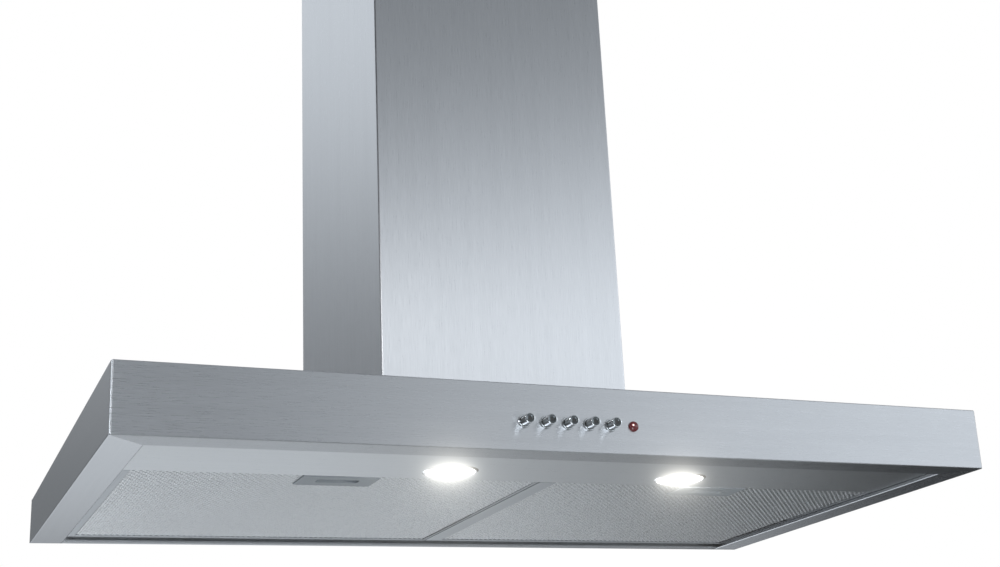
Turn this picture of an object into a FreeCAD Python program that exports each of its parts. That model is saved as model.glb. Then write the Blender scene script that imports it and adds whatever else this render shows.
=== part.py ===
import FreeCAD, Part
import math
import os
import Sketcher
from types import SimpleNamespace

# Wall-mounted range hood: a wide, shallow steel canopy under a square chimney.
# Frame: X to the right as one faces the hood, Y into the wall, Z up, millimetres.
# The wall is the plane Y = 0, the front is at -Y, and Z = 0 is the canopy's lower rim.

Vector = FreeCAD.Vector
Rotation = FreeCAD.Rotation
doc = FreeCAD.newDocument("range_hood")

SIZES = (
    # Canopy shell, folded from sheet and welded at the mitred corners
    ("canopy_width", 898),
    ("canopy_depth", 520),
    ("front_height", 64),
    ("back_height", 48),
    ("sheet", 1),
    ("rim_width", 34),
    ("lip_height", 10),
    ("corner_radius", 2),
    ("top_flange", 14),
    ("rear_flange", 10),
    ("rear_lip", 3),
    ("lid_play", 0.5),
    ("inlet_side_margin", 10),
    ("inlet_end_margin", 15),
    ("wall_hole_spacing", 300),
    ("wall_hole_radius", 4),
    ("wall_hole_height", 33),
    # Lamp panel, the strip behind the front rim
    ("panel_height", 4),
    ("lamp_strip", 150),
    ("side_gap", 2),
    ("panel_play", 0.4),
    ("panel_flange", 20),
    # Two recessed lamps with a pull-off ring and lens
    ("lamp_spacing", 254),
    ("lamp_edge_gap", 4),
    ("lamp_offset", 16),
    ("ring_bore_radius", 25),
    ("ring_wall", 1),
    ("ring_seat", 1),
    ("ring_play", 0.5),
    ("ring_overlap", 0.9),
    ("ring_drop", 1.4),
    ("ring_neck_height", 10),
    ("ring_notch", 5),
    ("ring_notch_depth", 1.8),
    ("lens_sink", 0.7),
    ("lens_play", 0.3),
    ("lens_thickness", 3),
    ("housing_step", 2),
    ("housing_rim", 2.5),
    ("housing_wall", 1),
    ("housing_height", 32),
    ("socket_length", 18),
    ("socket_width", 9),
    ("socket_height", 8),
    ("bulb_radius", 4.5),
    ("bulb_length", 13),
    # Push buttons and the pilot lamp on the front
    ("button_count", 5),
    ("first_button", -81),
    ("button_pitch", 22.2),
    ("button_height", 27.5),
    ("button_radius", 4.8),
    ("button_reach", 15),
    ("button_inside", 6),
    ("button_rim", 1.1),
    ("button_dish_depth", 1.2),
    ("button_play", 0.3),
    ("stem_radius", 2.8),
    ("stem_length", 10),
    ("stem_play", 0.3),
    ("collar_wall", 1.2),
    ("collar_reach", 2.5),
    ("switch_setback", 12),
    ("switch_depth", 20),
    ("switch_height", 28),
    ("switch_margin", 14),
    ("switch_foot", 5),
    ("switch_bore_depth", 13),
    ("pilot_offset", 24.5),
    ("pilot_radius", 5),
    ("pilot_dome_radius", 6.2),
    ("pilot_dome_height", 2.4),
    ("pilot_rim", 1),
    ("pilot_neck_radius", 4),
    ("pilot_neck_length", 8),
    ("pilot_nut_radius", 6.5),
    ("pilot_nut_height", 4),
    ("pilot_play", 0.2),
    # Lamp transformer on the panel
    ("transformer_length", 74),
    ("transformer_width", 42),
    ("transformer_height", 30),
    ("transformer_gap", 6),
    ("transformer_inset", 34),
    # Two grease filters, each hung on lugs at the back
    ("filter_gap", 2),
    ("filter_front_gap", 1.5),
    ("filter_rear", 22),
    ("filter_thickness", 9),
    ("end_rail", 7),
    ("joint_rail", 18),
    ("thin_rail", 3),
    ("front_rail", 3),
    ("back_rail", 6),
    ("mesh_inset", 0.8),
    ("mesh_thickness", 0.5),
    ("mesh_play", 0.2),
    ("pad_layers", 3),
    ("pad_layer", 0.3),
    ("pad_spacing", 1.6),
    ("handle_width", 77),
    ("handle_depth", 40),
    ("handle_drop", 0.8),
    ("handle_cover", 0.8),
    ("handle_play", 0.2),
    ("finger_width", 42),
    ("finger_depth", 14),
    ("finger_front", 12),
    ("latch_width", 20),
    ("latch_thickness", 2),
    ("latch_height", 3),
    ("latch_play", 0.3),
    ("latch_reach", 1.2),
    ("latch_tab_width", 34),
    ("latch_tab", 2),
    ("latch_tab_drop", 2.5),
    ("lug_spacing", 280),
    ("lug_length", 24),
    ("lug_ear", 2),
    ("lug_ear_height", 4.6),
    ("hinge_setback", 18),
    ("hinge_height", 4.5),
    ("pin_radius", 1.5),
    ("hook_play", 0.2),
    ("hook_wall", 1.2),
    ("hook_width", 16),
    ("hook_mouth", 3.4),
    ("rail_height", 17),
    ("rail_edge", 2),
    ("rail_end", 45),
    # Blower box on the lid
    ("box_side_gap", 15.2),
    ("box_front_gap", 23.2),
    ("box_back_gap", 25.2),
    ("box_top", 280),
    ("box_flange", 12),
    ("screw_head_radius", 3.4),
    ("screw_head_height", 2),
    ("screw_radius", 1.8),
    ("screw_length", 7),
    ("screw_play", 0.2),
    ("screw_rows", 4),
    ("screw_pitch", 70),
    # Scroll, impeller and motor, on one axis along Y
    ("fan_drop", 122),
    ("scroll_radius", 88),
    ("scroll_half_width", 45),
    ("scroll_wall", 1.5),
    ("scroll_throat", 40),
    ("scroll_inlet", 60),
    ("impeller_gap", 12.5),
    ("impeller_side_gap", 5),
    ("blade_count", 32),
    ("blade_depth", 14),
    ("blade_lead", 9),
    ("blade_thickness", 1.2),
    ("blade_tip_gap", 1),
    ("impeller_ring", 3),
    ("impeller_disc", 2),
    ("hub_radius", 11),
    ("hub_length", 18),
    ("shaft_radius", 4),
    ("shaft_play", 0.05),
    ("shaft_tail", 4),
    ("motor_side_gap", 18),
    ("motor_disc_gap", 4),
    ("motor_air_gap", 3),
    ("motor_end_wall", 3),
    ("bracket_thickness", 2),
    ("bracket_hub", 24),
    ("bracket_reach", 72),
    ("bracket_arm", 14),
    ("bracket_arms", 3),
    # Outlet collar with two non-return flaps
    ("collar_outer", 75),
    ("duct_wall", 1.5),
    ("duct_height", 50),
    ("duct_flange", 13),
    ("duct_flange_thickness", 1.5),
    ("stop_height", 20),
    ("stop_thickness", 2),
    ("stop_width", 5),
    ("bridge_half_width", 6.5),
    ("flap_thickness", 1.2),
    ("flap_play", 0.3),
    ("flap_edge_play", 1),
    ("flap_pin_radius", 1.5),
    ("flap_pin_offset", 4),
    ("knuckle_wall", 1.1),
    ("knuckle_play", 0.08),
    # Electrical pieces on top of the box
    ("capacitor_radius", 14),
    ("capacitor_height", 48),
    ("corner_margin", 27),
    ("junction_length", 50),
    ("junction_width", 44),
    ("junction_height", 28),
    ("gland_radius", 8),
    ("gland_height", 12),
    ("gland_bore", 4),
    ("gland_nut_radius", 10),
    ("gland_nut_height", 5),
    # Chimney: a lower cover and an upper one that slides inside it
    ("chimney_width", 286),
    ("chimney_depth", 300),
    ("chimney_top", 740),
    ("chimney_bend", 2),
    ("chimney_return", 10),
    ("cover_play", 0.8),
    ("seat_play", 0.3),
    ("upper_length", 500),
    ("slot_count", 8),
    ("slot_length", 120),
    ("slot_height", 4),
    ("slot_pitch", 10),
    ("slot_top_margin", 60),
    ("bracket_rise", 10),
    ("bracket_drop", 26),
    ("bracket_width", 30),
    ("ceiling_strip", 30),
    ("ceiling_drop", 12),
    ("ceiling_arm", 40),
    ("ceiling_hole_radius", 3),
    ("ceiling_hole_spacing", 160),
    # What every cut runs past the face it goes through
    ("overrun", 5),
)

sheet = doc.addObject("Spreadsheet::Sheet", "sizes")
for row, (alias, number) in enumerate(SIZES, start=1):
    sheet.set(f"A{row}", alias)
    sheet.set(f"B{row}", str(number))
    sheet.setAlias(f"B{row}", alias)
doc.recompute()


class Size:
    """A length or count: its formula in the sheet's names, and its value now."""

    def __init__(self, formula, value):
        self.formula = formula
        self.value = value

    def join(self, sign, other, value):
        return Size(f"({self.formula} {sign} {other.formula})", value)

    def __add__(self, other):
        other = as_size(other)
        return self.join("+", other, self.value + other.value)

    def __sub__(self, other):
        other = as_size(other)
        return self.join("-", other, self.value - other.value)

    def __mul__(self, other):
        other = as_size(other)
        return self.join("*", other, self.value * other.value)

    def __truediv__(self, other):
        other = as_size(other)
        return self.join("/", other, self.value / other.value)

    def __neg__(self):
        return Size(f"(0 - {self.formula})", -self.value)

    def __rmul__(self, other):
        return as_size(other) * self


def as_size(number):
    """A Size as it is, or a plain number as a Size."""
    if isinstance(number, Size):
        return number
    return Size(repr(float(number)), float(number))


s = SimpleNamespace(**{alias: Size(f"sizes.{alias}", float(number)) for alias, number in SIZES})
ZERO = as_size(0)
nodes = []


def bind(thing, prop, size):
    """Ties one property of an object to the sheet."""
    thing.setExpression(prop, as_size(size).formula)


def place(thing, x=ZERO, y=ZERO, z=ZERO):
    for axis, size in zip("xyz", (x, y, z)):
        bind(thing, f"Placement.Base.{axis}", size)


def node(label, thing):
    """Names a finished piece, which is written to a file of that name."""
    thing.Label = label
    nodes.append(thing)
    return thing


# Drawing helpers

PLANES = {"x": "YZ_Plane", "y": "XZ_Plane", "z": "XY_Plane"}


def new_sketch(body, name, along):
    """A sketch on the body's own origin plane, square to the axis `along`."""
    plane = next(f for f in body.Origin.OriginFeatures if f.Role == PLANES[along])
    sketch = body.newObject("Sketcher::SketchObject", name)
    sketch.AttachmentSupport = [(plane, "")]
    sketch.MapMode = "FlatFace"
    return sketch


def hold_point(sketch, geometry, point, u, v):
    """Holds a point of the sketch by two dimensions from its origin."""
    for kind, size in (("DistanceX", u), ("DistanceY", v)):
        size = as_size(size)
        dimension = Sketcher.Constraint(kind, -1, 1, geometry, point, size.value)
        index = sketch.addConstraint(dimension)
        sketch.setExpression(f"Constraints[{index}]", size.formula)


def draw_outline(sketch, corners):
    """A closed outline of straight lines through the given corners."""
    corners = [(as_size(u), as_size(v)) for u, v in corners]
    points = [Vector(u.value, v.value, 0) for u, v in corners]
    first = sketch.GeometryCount
    following = points[1:] + points[:1]
    sketch.addGeometry([Part.LineSegment(a, b) for a, b in zip(points, following)], False)
    count = len(points)
    joins = [
        Sketcher.Constraint("Coincident", first + i, 2, first + (i + 1) % count, 1)
        for i in range(count)
    ]
    sketch.addConstraint(joins)
    for i, (u, v) in enumerate(corners):
        hold_point(sketch, first + i, 1, u, v)


def draw_circle(sketch, u, v, radius):
    u, v, radius = as_size(u), as_size(v), as_size(radius)
    index = sketch.addGeometry(Part.Circle(Vector(u.value, v.value, 0), Vector(0, 0, 1), radius.value))
    hold_point(sketch, index, 3, u, v)
    size = sketch.addConstraint(Sketcher.Constraint("Radius", index, radius.value))
    sketch.setExpression(f"Constraints[{size}]", radius.formula)


def prism(name, along, corners, start, end):
    """A body padded from an outline, from `start` to `end` along one axis."""
    body = doc.addObject("PartDesign::Body", name)
    sketch = new_sketch(body, f"{name}_outline", along)
    draw_outline(sketch, corners)
    pad = body.newObject("PartDesign::Pad", f"{name}_pad")
    pad.Profile = sketch
    pad.Reversed = along == "y"
    bind(pad, "Length", as_size(end) - start)
    bind(body, f"Placement.Base.{along}", start)
    return body


def block(name, x, y, z):
    """A box given by its two ends along each axis."""
    box = doc.addObject("Part::Box", name)
    for prop, (low, high) in zip(("Length", "Width", "Height"), (x, y, z)):
        bind(box, prop, as_size(high) - low)
    place(box, x[0], y[0], z[0])
    return box


TURNS = {
    "x": Rotation(Vector(0, 1, 0), 90),
    "y": Rotation(Vector(1, 0, 0), -90),
    "z": Rotation(),
}


def rod(name, along, centre, radius, start, end):
    """A cylinder along one axis; `centre` is its place on the other two."""
    cylinder = doc.addObject("Part::Cylinder", name)
    cylinder.Placement = FreeCAD.Placement(Vector(), TURNS[along])
    bind(cylinder, "Radius", radius)
    bind(cylinder, "Height", as_size(end) - start)
    others = [axis for axis in "xyz" if axis != along]
    spot = dict(zip(others, centre))
    spot[along] = start
    place(cylinder, **spot)
    return cylinder


def fuse(name, *parts):
    joined = doc.addObject("Part::MultiFuse", name)
    joined.Shapes = list(parts)
    joined.Refine = True
    return joined


def cut(name, base, *tools):
    """The base with every tool taken away."""
    tool = tools[0] if len(tools) == 1 else fuse(f"{name}_tools", *tools)
    result = doc.addObject("Part::Cut", name)
    result.Base = base
    result.Tool = tool
    result.Refine = True
    return result


def common(name, first, second):
    result = doc.addObject("Part::Common", name)
    result.Base = first
    result.Tool = second
    result.Refine = True
    return result


def group(name, *parts):
    """Separate solids that share one node."""
    together = doc.addObject("Part::Compound", name)
    together.Links = list(parts)
    return together


def tube(name, along, centre, outer, inner, start, end):
    wall = rod(f"{name}_wall", along, centre, outer, start, end)
    bore = rod(f"{name}_bore", along, centre, inner, start - s.overrun, end + s.overrun)
    return cut(name, wall, bore)


def span(side, near, far):
    """Ends along X of something from `near` to `far` out from the middle, on one side."""
    return (near, far) if side > 0 else (-far, -near)


SIDES = (("left", -1), ("right", 1))

# Places that several pieces share

half_width = s.canopy_width / 2
front_face = -s.canopy_depth
slope = (s.front_height - s.back_height) / s.canopy_depth
rim_inside = half_width - s.rim_width
panel_back = front_face + s.lamp_strip
panel_top = s.panel_height + s.sheet

lower_half = s.chimney_width / 2
upper_half = lower_half - s.sheet - s.cover_play
upper_front = s.sheet + s.cover_play - s.chimney_depth
upper_back = -s.sheet - s.cover_play
bracket_top = s.box_top + s.bracket_rise
upper_low = bracket_top + s.seat_play
upper_high = upper_low + s.upper_length

box_half = upper_half - s.sheet - s.box_side_gap
box_front = upper_front + s.sheet + s.box_front_gap
box_back = upper_back - s.sheet - s.box_back_gap
fan_y = (box_front + box_back) / 2
fan_height = s.box_top - s.fan_drop
fan_centre = (ZERO, fan_height)


def shell_top(y):
    """Height of the canopy's sloping upper edge at a distance y from the wall."""
    return s.back_height - y * slope


def lid_top(y):
    """Height of the lid's upper face, which lies under the top flanges."""
    return shell_top(y) - s.sheet


def sloping(low, high, lower_drop, upper_drop):
    """Side outline of a flat strip that follows the canopy's sloping top."""
    return [
        (low, shell_top(low) - lower_drop),
        (high, shell_top(high) - lower_drop),
        (high, shell_top(high) - upper_drop),
        (low, shell_top(low) - upper_drop),
    ]


# Canopy shell

def mitre(name, side, of_front):
    """The triangle that a 45 degree mitre takes off a panel at one front corner."""
    edge = half_width * side
    reach = s.rim_width + s.overrun
    inward = edge - reach * side
    back = front_face + reach
    spare = edge + s.overrun * side
    ahead = front_face - s.overrun
    if of_front:
        corners = [(spare, ahead), (inward, back), (spare, back)]
    else:
        corners = [(spare, ahead), (inward, ahead), (inward, back)]
    return prism(name, "z", corners, -s.overrun, s.front_height + s.overrun)


def corner_waste(name, side):
    """What rounding takes off one upright front corner of the shell."""
    x = span(side, half_width - s.corner_radius, half_width + s.overrun)
    y = (front_face - s.overrun, front_face + s.corner_radius)
    low, high = -s.overrun, s.front_height + s.overrun
    centre = ((half_width - s.corner_radius) * side, front_face + s.corner_radius)
    return cut(name, block(f"{name}_block", x, y, (low, high)),
               rod(f"{name}_round", "z", centre, s.corner_radius, low, high))


button_places = [s.first_button + s.button_pitch * i for i in range(int(s.button_count.value))]
pilot_place = button_places[-1] + s.pilot_offset


def front_hole(name, x, radius):
    return rod(name, "y", (x, s.button_height), radius,
               front_face - s.overrun, front_face + s.sheet + s.overrun)


def make_front_panel():
    inner = front_face + s.sheet
    lip_back = front_face + s.rim_width
    lip_front = lip_back - s.sheet
    flange_back = front_face + s.top_flange
    outline = [
        (front_face, ZERO), (lip_back, ZERO), (lip_back, s.lip_height),
        (lip_front, s.lip_height), (lip_front, s.sheet), (inner, s.sheet),
        (inner, lid_top(inner)), (flange_back, lid_top(flange_back)),
        (flange_back, shell_top(flange_back)), (front_face, s.front_height),
    ]
    folded = prism("front_folded", "x", outline, -half_width, half_width)
    holes = [front_hole(f"button_hole_{i}", x, s.button_radius + s.button_play)
             for i, x in enumerate(button_places, start=1)]
    holes.append(front_hole("pilot_hole", pilot_place, s.pilot_neck_radius + s.pilot_play))
    waste = [mitre(f"front_mitre_{name}", side, True) for name, side in SIDES]
    waste += [corner_waste(f"front_corner_{name}", side) for name, side in SIDES]
    node("front_panel", cut("front_cut", folded, *holes, *waste))


def make_side_panel(name, side):
    wall = [(front_face, ZERO), (ZERO, ZERO), (ZERO, s.back_height), (front_face, s.front_height)]
    rear = -s.sheet
    outer = span(side, half_width - s.sheet, half_width)
    inward = span(side, half_width - s.rim_width, half_width)
    lip = span(side, rim_inside, rim_inside + s.sheet)
    flange = span(side, half_width - s.top_flange, half_width)
    folded = fuse(
        f"side_folded_{name}",
        prism(f"side_wall_{name}", "x", wall, *outer),
        block(f"side_rim_{name}", inward, (front_face, rear), (ZERO, s.sheet)),
        block(f"side_lip_{name}", lip, (front_face, rear), (ZERO, s.lip_height)),
        prism(f"side_flange_{name}", "x", sloping(front_face, rear, s.sheet, ZERO), *flange),
    )
    node(f"side_panel_{name}", cut(
        f"side_cut_{name}", folded,
        mitre(f"side_mitre_{name}", side, False),
        corner_waste(f"side_corner_{name}", side)))


def make_rear_panel():
    inside = half_width - s.sheet
    between_rims = rim_inside
    between_flanges = half_width - s.top_flange
    plate = prism("rear_plate", "x", [(-s.sheet, ZERO), (ZERO, ZERO), (ZERO, s.back_height),
                                     (-s.sheet, shell_top(-s.sheet))], -inside, inside)
    rim = block("rear_rim", (-between_rims, between_rims), (-s.rear_flange, ZERO), (ZERO, s.sheet))
    lip = block("rear_lip_bend", (-between_rims, between_rims),
                (-s.rear_flange, s.sheet - s.rear_flange), (ZERO, s.rear_lip))
    flange = prism("rear_top_flange", "x", sloping(-s.top_flange, ZERO, s.sheet, ZERO),
                   -between_flanges, between_flanges)
    holes = [
        rod(f"wall_hole_{name}", "y", (s.wall_hole_spacing / 2 * side, s.wall_hole_height),
            s.wall_hole_radius, -s.sheet - s.overrun, s.overrun)
        for name, side in SIDES
    ]
    node("rear_panel", cut("rear_cut", fuse("rear_folded", plate, rim, lip, flange), *holes))


def make_top_lid():
    inside = half_width - s.sheet - s.lid_play
    low = front_face + s.sheet + s.lid_play
    high = -s.sheet - s.lid_play
    plate = prism("lid_plate", "x", sloping(low, high, s.sheet * 2, s.sheet), -inside, inside)
    inlet_half = box_half - s.inlet_side_margin
    inlet = block("lid_inlet", (-inlet_half, inlet_half),
                  (box_front + s.inlet_end_margin, box_back - s.inlet_end_margin),
                  (ZERO, s.front_height + s.overrun))
    node("top_lid", cut("lid_cut", plate, inlet, *flange_holes("lid")))


def flange_spots():
    """Places of the screws that hold the blower box down, on both sides of it."""
    x = box_half + s.box_flange / 2
    rows = int(s.screw_rows.value)
    return [
        (f"{name}_{i + 1}", x * side, fan_y + s.screw_pitch * (i - (rows - 1) / 2))
        for name, side in SIDES for i in range(rows)
    ]


def flange_holes(owner):
    return [
        rod(f"{owner}_screw_hole_{spot}", "z", (x, y), s.screw_radius + s.screw_play,
            lid_top(y) - s.sheet - s.overrun, shell_top(y) + s.sheet + s.overrun)
        for spot, x, y in flange_spots()
    ]


# Filters and what they hang on

filter_front = panel_back + s.filter_front_gap
filter_back = -s.filter_rear
filter_near = s.filter_gap / 2
filter_far = rim_inside - s.side_gap
filter_middle = (filter_near + filter_far) / 2
filter_low = s.panel_height
filter_high = filter_low + s.filter_thickness
hinge_y = -s.hinge_setback
hinge_z = filter_low + s.hinge_height
handle_back = filter_front + s.handle_depth
handle_low = filter_low - s.handle_drop
handle_high = filter_high - s.handle_cover
finger_front = filter_front + s.finger_front
finger_back = finger_front + s.finger_depth
latch_low = filter_low + s.latch_height
latch_high = latch_low + s.latch_thickness
finger_top = latch_high + s.latch_play


def about(middle, width):
    """Both ends of something of a given width about a middle."""
    return (middle - width / 2, middle + width / 2)


def handle_space(name, side, high):
    """Room for the handle block in the pieces of a filter."""
    width = s.handle_width + s.handle_play * 2
    return block(name, about(filter_middle * side, width),
                 (filter_front - s.overrun, handle_back + s.handle_play),
                 (filter_low - s.overrun, high))


def make_filter(name, side):
    """Frame with two outer meshes and thin layers of mesh between them.

    Both filters have their wider rail on the left: the right one's covers the joint.
    """
    left_rail, right_rail = (s.end_rail, s.thin_rail) if side < 0 else (s.joint_rail, s.thin_rail)
    x = span(side, filter_near, filter_far)
    window_x = (x[0] + left_rail, x[1] - right_rail)
    window_y = (filter_front + s.front_rail, filter_back - s.back_rail)
    outer = block(f"filter_outer_{name}", x, (filter_front, filter_back), (filter_low, filter_high))
    window = block(f"filter_window_{name}", window_x, window_y,
                   (filter_low - s.overrun, filter_high + s.overrun))
    node(f"filter_frame_{name}", cut(
        f"filter_frame_cut_{name}", outer, window,
        handle_space(f"frame_notch_{name}", side, handle_high + s.handle_play)))

    sheet_x = (window_x[0] + s.mesh_play, window_x[1] - s.mesh_play)
    sheet_y = (window_y[0] + s.mesh_play, window_y[1] - s.mesh_play)
    front_low = filter_low + s.mesh_inset
    front_high = front_low + s.mesh_thickness
    back_high = filter_high - s.mesh_inset
    back_low = back_high - s.mesh_thickness

    def layer(tag, low, high):
        plate = block(f"{tag}_plate_{name}", sheet_x, sheet_y, (low, high))
        notch = handle_space(f"{tag}_notch_{name}", side, filter_high + s.overrun)
        return cut(f"{tag}_cut_{name}", plate, notch)

    node(f"filter_mesh_{name}", layer("mesh", front_low, front_high))
    node(f"filter_back_{name}", layer("back", back_low, back_high))
    count = int(s.pad_layers.value)
    middle = (front_high + back_low) / 2
    levels = [middle + s.pad_spacing * (i - (count - 1) / 2) for i in range(count)]
    pads = [layer(f"pad_{i}", *about(level, s.pad_layer)) for i, level in enumerate(levels, start=1)]
    node(f"filter_pad_{name}", group(f"pad_group_{name}", *pads))


def make_handle(name, side):
    middle = filter_middle * side
    body = block(f"handle_block_{name}", about(middle, s.handle_width),
                 (filter_front, handle_back), (handle_low, handle_high))
    finger = block(f"handle_finger_{name}", about(middle, s.finger_width),
                   (finger_front, finger_back), (handle_low - s.overrun, finger_top))
    channel = block(f"handle_channel_{name}", about(middle, s.latch_width + s.latch_play * 2),
                    (filter_front - s.overrun, finger_front + s.latch_play),
                    (latch_low - s.latch_play, finger_top))
    node(f"filter_handle_{name}", cut(f"handle_cut_{name}", body, finger, channel))


def make_latch(name, side):
    middle = filter_middle * side
    tab_front = finger_front + s.latch_play
    tongue = block(f"latch_tongue_{name}", about(middle, s.latch_width),
                   (filter_front - s.latch_reach, tab_front + s.latch_tab), (latch_low, latch_high))
    tab = block(f"latch_tab_{name}", about(middle, s.latch_tab_width),
                (tab_front, tab_front + s.latch_tab), (latch_low - s.latch_tab_drop, latch_high))
    node(f"filter_latch_{name}", fuse(f"latch_fused_{name}", tongue, tab))


def lug_places(side):
    return [filter_middle * side + s.lug_spacing / 2 * end for end in (-1, 1)]


def make_lugs(name, side):
    """Two hinge pins on a filter's back edge, each carried by two ears."""
    lugs = []
    for index, middle in enumerate(lug_places(side), start=1):
        ends = about(middle, s.lug_length)
        ear_y = (filter_back, hinge_y + s.pin_radius)
        ear_z = about(hinge_z, s.lug_ear_height)
        tag = f"{name}_{index}"
        lugs.append(fuse(
            f"lug_{tag}",
            rod(f"lug_pin_{tag}", "x", (hinge_y, hinge_z), s.pin_radius, *ends),
            block(f"lug_ear_low_{tag}", (ends[0], ends[0] + s.lug_ear), ear_y, ear_z),
            block(f"lug_ear_high_{tag}", (ends[1] - s.lug_ear, ends[1]), ear_y, ear_z)))
    node(f"filter_lugs_{name}", group(f"lug_group_{name}", *lugs))


def make_rear_rail():
    """Angle on the rear panel, with an open hook round each hinge pin."""
    bore = s.pin_radius + s.hook_play
    outer = bore + s.hook_wall
    half = lug_places(1)[-1] + s.hook_width / 2 + s.rail_end
    rail_front = hinge_y + bore
    rail_low = s.rail_height - s.sheet
    pieces = [
        block("rail_shelf", (-half, half), (rail_front, -s.sheet), (rail_low, s.rail_height)),
        block("rail_leg_plate", (-half, half), (-s.sheet * 2, -s.sheet),
              (rail_low, s.wall_hole_height + s.wall_hole_radius + s.rail_edge)),
    ]
    mouths = []
    for name, side in SIDES:
        for index, middle in enumerate(lug_places(side), start=1):
            x = about(middle, s.hook_width)
            tag = f"{name}_{index}"
            pieces.append(tube(f"hook_{tag}", "x", (hinge_y, hinge_z), outer, bore, *x))
            pieces.append(block(f"hook_stem_{tag}", x, (rail_front, hinge_y + outer),
                                (hinge_z, s.rail_height)))
            mouths.append(block(f"hook_mouth_{tag}", (x[0] - s.overrun, x[1] + s.overrun),
                                (hinge_y - outer - s.hook_play, hinge_y),
                                (hinge_z + s.hook_play, hinge_z + s.hook_mouth)))
    holes = [
        rod(f"rail_hole_{name}", "y", (s.wall_hole_spacing / 2 * side, s.wall_hole_height),
            s.wall_hole_radius, -s.sheet * 2 - s.overrun, ZERO)
        for name, side in SIDES
    ]
    node("rear_rail", cut("rear_rail_cut", fuse("rear_rail_fused", *pieces), *mouths, *holes))


# Lamp panel and lamps

neck_radius = s.ring_bore_radius + s.ring_wall
lamp_hole_radius = neck_radius + s.ring_play
ring_radius = lamp_hole_radius + s.ring_overlap
housing_radius = lamp_hole_radius + s.housing_step + s.housing_wall
housing_flange = housing_radius + s.housing_rim
lamp_y = panel_back - housing_flange - s.lamp_edge_gap


def lamp_x(side):
    return s.lamp_offset + s.lamp_spacing / 2 * side


def make_lamp_panel():
    edge = filter_far
    front = front_face + s.rim_width + s.panel_play
    low, high = s.panel_height, panel_top
    up = low + s.panel_flange
    folded = fuse(
        "lamp_panel_folded",
        block("lamp_panel_sheet", (-edge, edge), (front, panel_back), (low, high)),
        block("lamp_panel_front_flange", (-edge, edge), (front, front + s.sheet), (low, up)),
        block("lamp_panel_left_flange", (-edge, s.sheet - edge), (front, panel_back), (low, up)),
        block("lamp_panel_right_flange", (edge - s.sheet, edge), (front, panel_back), (low, up)),
    )
    holes = [
        rod(f"lamp_hole_{name}", "z", (lamp_x(side), lamp_y), lamp_hole_radius,
            low - s.overrun, high + s.overrun)
        for name, side in SIDES
    ]
    node("lamp_panel", cut("lamp_panel_cut", folded, *holes))


def make_lamp(name, side):
    """Ring and lens that pull off downwards, with the housing, socket and bulb above."""
    centre = (lamp_x(side), lamp_y)
    ring_low = s.panel_height - s.ring_drop
    neck_top = s.panel_height + s.ring_neck_height
    lens_low = ring_low + s.lens_sink
    solid = fuse(
        f"ring_solid_{name}",
        rod(f"ring_flange_{name}", "z", centre, ring_radius, ring_low, s.panel_height),
        rod(f"ring_neck_{name}", "z", centre, neck_radius, ring_low, neck_top),
    )
    notch_x = (centre[0] + ring_radius - s.ring_notch_depth, centre[0] + ring_radius + s.overrun)
    node(f"lamp_ring_{name}", cut(
        f"ring_cut_{name}", solid,
        rod(f"ring_aperture_{name}", "z", centre, s.ring_bore_radius - s.ring_seat,
            ring_low - s.overrun, neck_top),
        rod(f"ring_bore_{name}", "z", centre, s.ring_bore_radius, lens_low, neck_top + s.overrun),
        block(f"ring_notch_{name}", notch_x, about(lamp_y, s.ring_notch),
              (ring_low - s.overrun, s.panel_height))))
    node(f"lamp_lens_{name}", rod(f"lens_disc_{name}", "z", centre, s.ring_bore_radius - s.lens_play,
                                  lens_low, lens_low + s.lens_thickness))

    housing_top = panel_top + s.housing_height
    cup = fuse(
        f"housing_solid_{name}",
        rod(f"housing_flange_{name}", "z", centre, housing_flange, panel_top,
            panel_top + s.housing_wall),
        rod(f"housing_cup_{name}", "z", centre, housing_radius, panel_top, housing_top),
    )
    node(f"lamp_housing_{name}", cut(
        f"housing_cut_{name}", cup,
        rod(f"housing_bore_{name}", "z", centre, housing_radius - s.housing_wall,
            panel_top - s.overrun, housing_top - s.housing_wall)))

    socket_high = housing_top - s.housing_wall
    socket_low = socket_high - s.socket_height
    node(f"lamp_socket_{name}", block(
        f"socket_block_{name}", about(centre[0], s.socket_length), about(lamp_y, s.socket_width),
        (socket_low, socket_high)))
    bulb_low = socket_low - s.bulb_length
    bulb = fuse(
        f"bulb_solid_{name}",
        rod(f"bulb_tube_{name}", "z", centre, s.bulb_radius, bulb_low, socket_low),
        dome(f"bulb_tip_{name}", centre, bulb_low, s.bulb_radius),
    )
    node(f"lamp_bulb_{name}", bulb)


def dome(name, centre, z, radius):
    ball = doc.addObject("Part::Sphere", name)
    bind(ball, "Radius", radius)
    place(ball, *centre, z)
    return ball


def make_transformer():
    left = lamp_x(1) + housing_flange + s.transformer_gap
    x = (left, left + s.transformer_length)
    front = front_face + s.rim_width + s.transformer_inset
    node("lamp_transformer", block("transformer_block", x, (front, front + s.transformer_width),
                                   (panel_top, panel_top + s.transformer_height)))


# Buttons, switch block and pilot lamp

def make_buttons():
    collars = []
    for index, x in enumerate(button_places, start=1):
        centre = (x, s.button_height)
        front = front_face - s.button_reach
        inside = front_face + s.button_inside
        cap = rod(f"button_cap_{index}", "y", centre, s.button_radius, front, inside)
        stem = rod(f"button_stem_{index}", "y", centre, s.stem_radius, inside - s.sheet,
                   inside + s.stem_length)
        dish = rod(f"button_dish_{index}", "y", centre, s.button_radius - s.button_rim,
                   front - s.overrun, front + s.button_dish_depth)
        node(f"push_button_{index}",
             cut(f"button_cut_{index}", fuse(f"button_fused_{index}", cap, stem), dish))
        bore = s.button_radius + s.button_play
        collars.append(tube(f"button_collar_{index}", "y", centre, bore + s.collar_wall, bore,
                            front_face - s.collar_reach, front_face))
    node("button_collars", group("collar_group", *collars))


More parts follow.
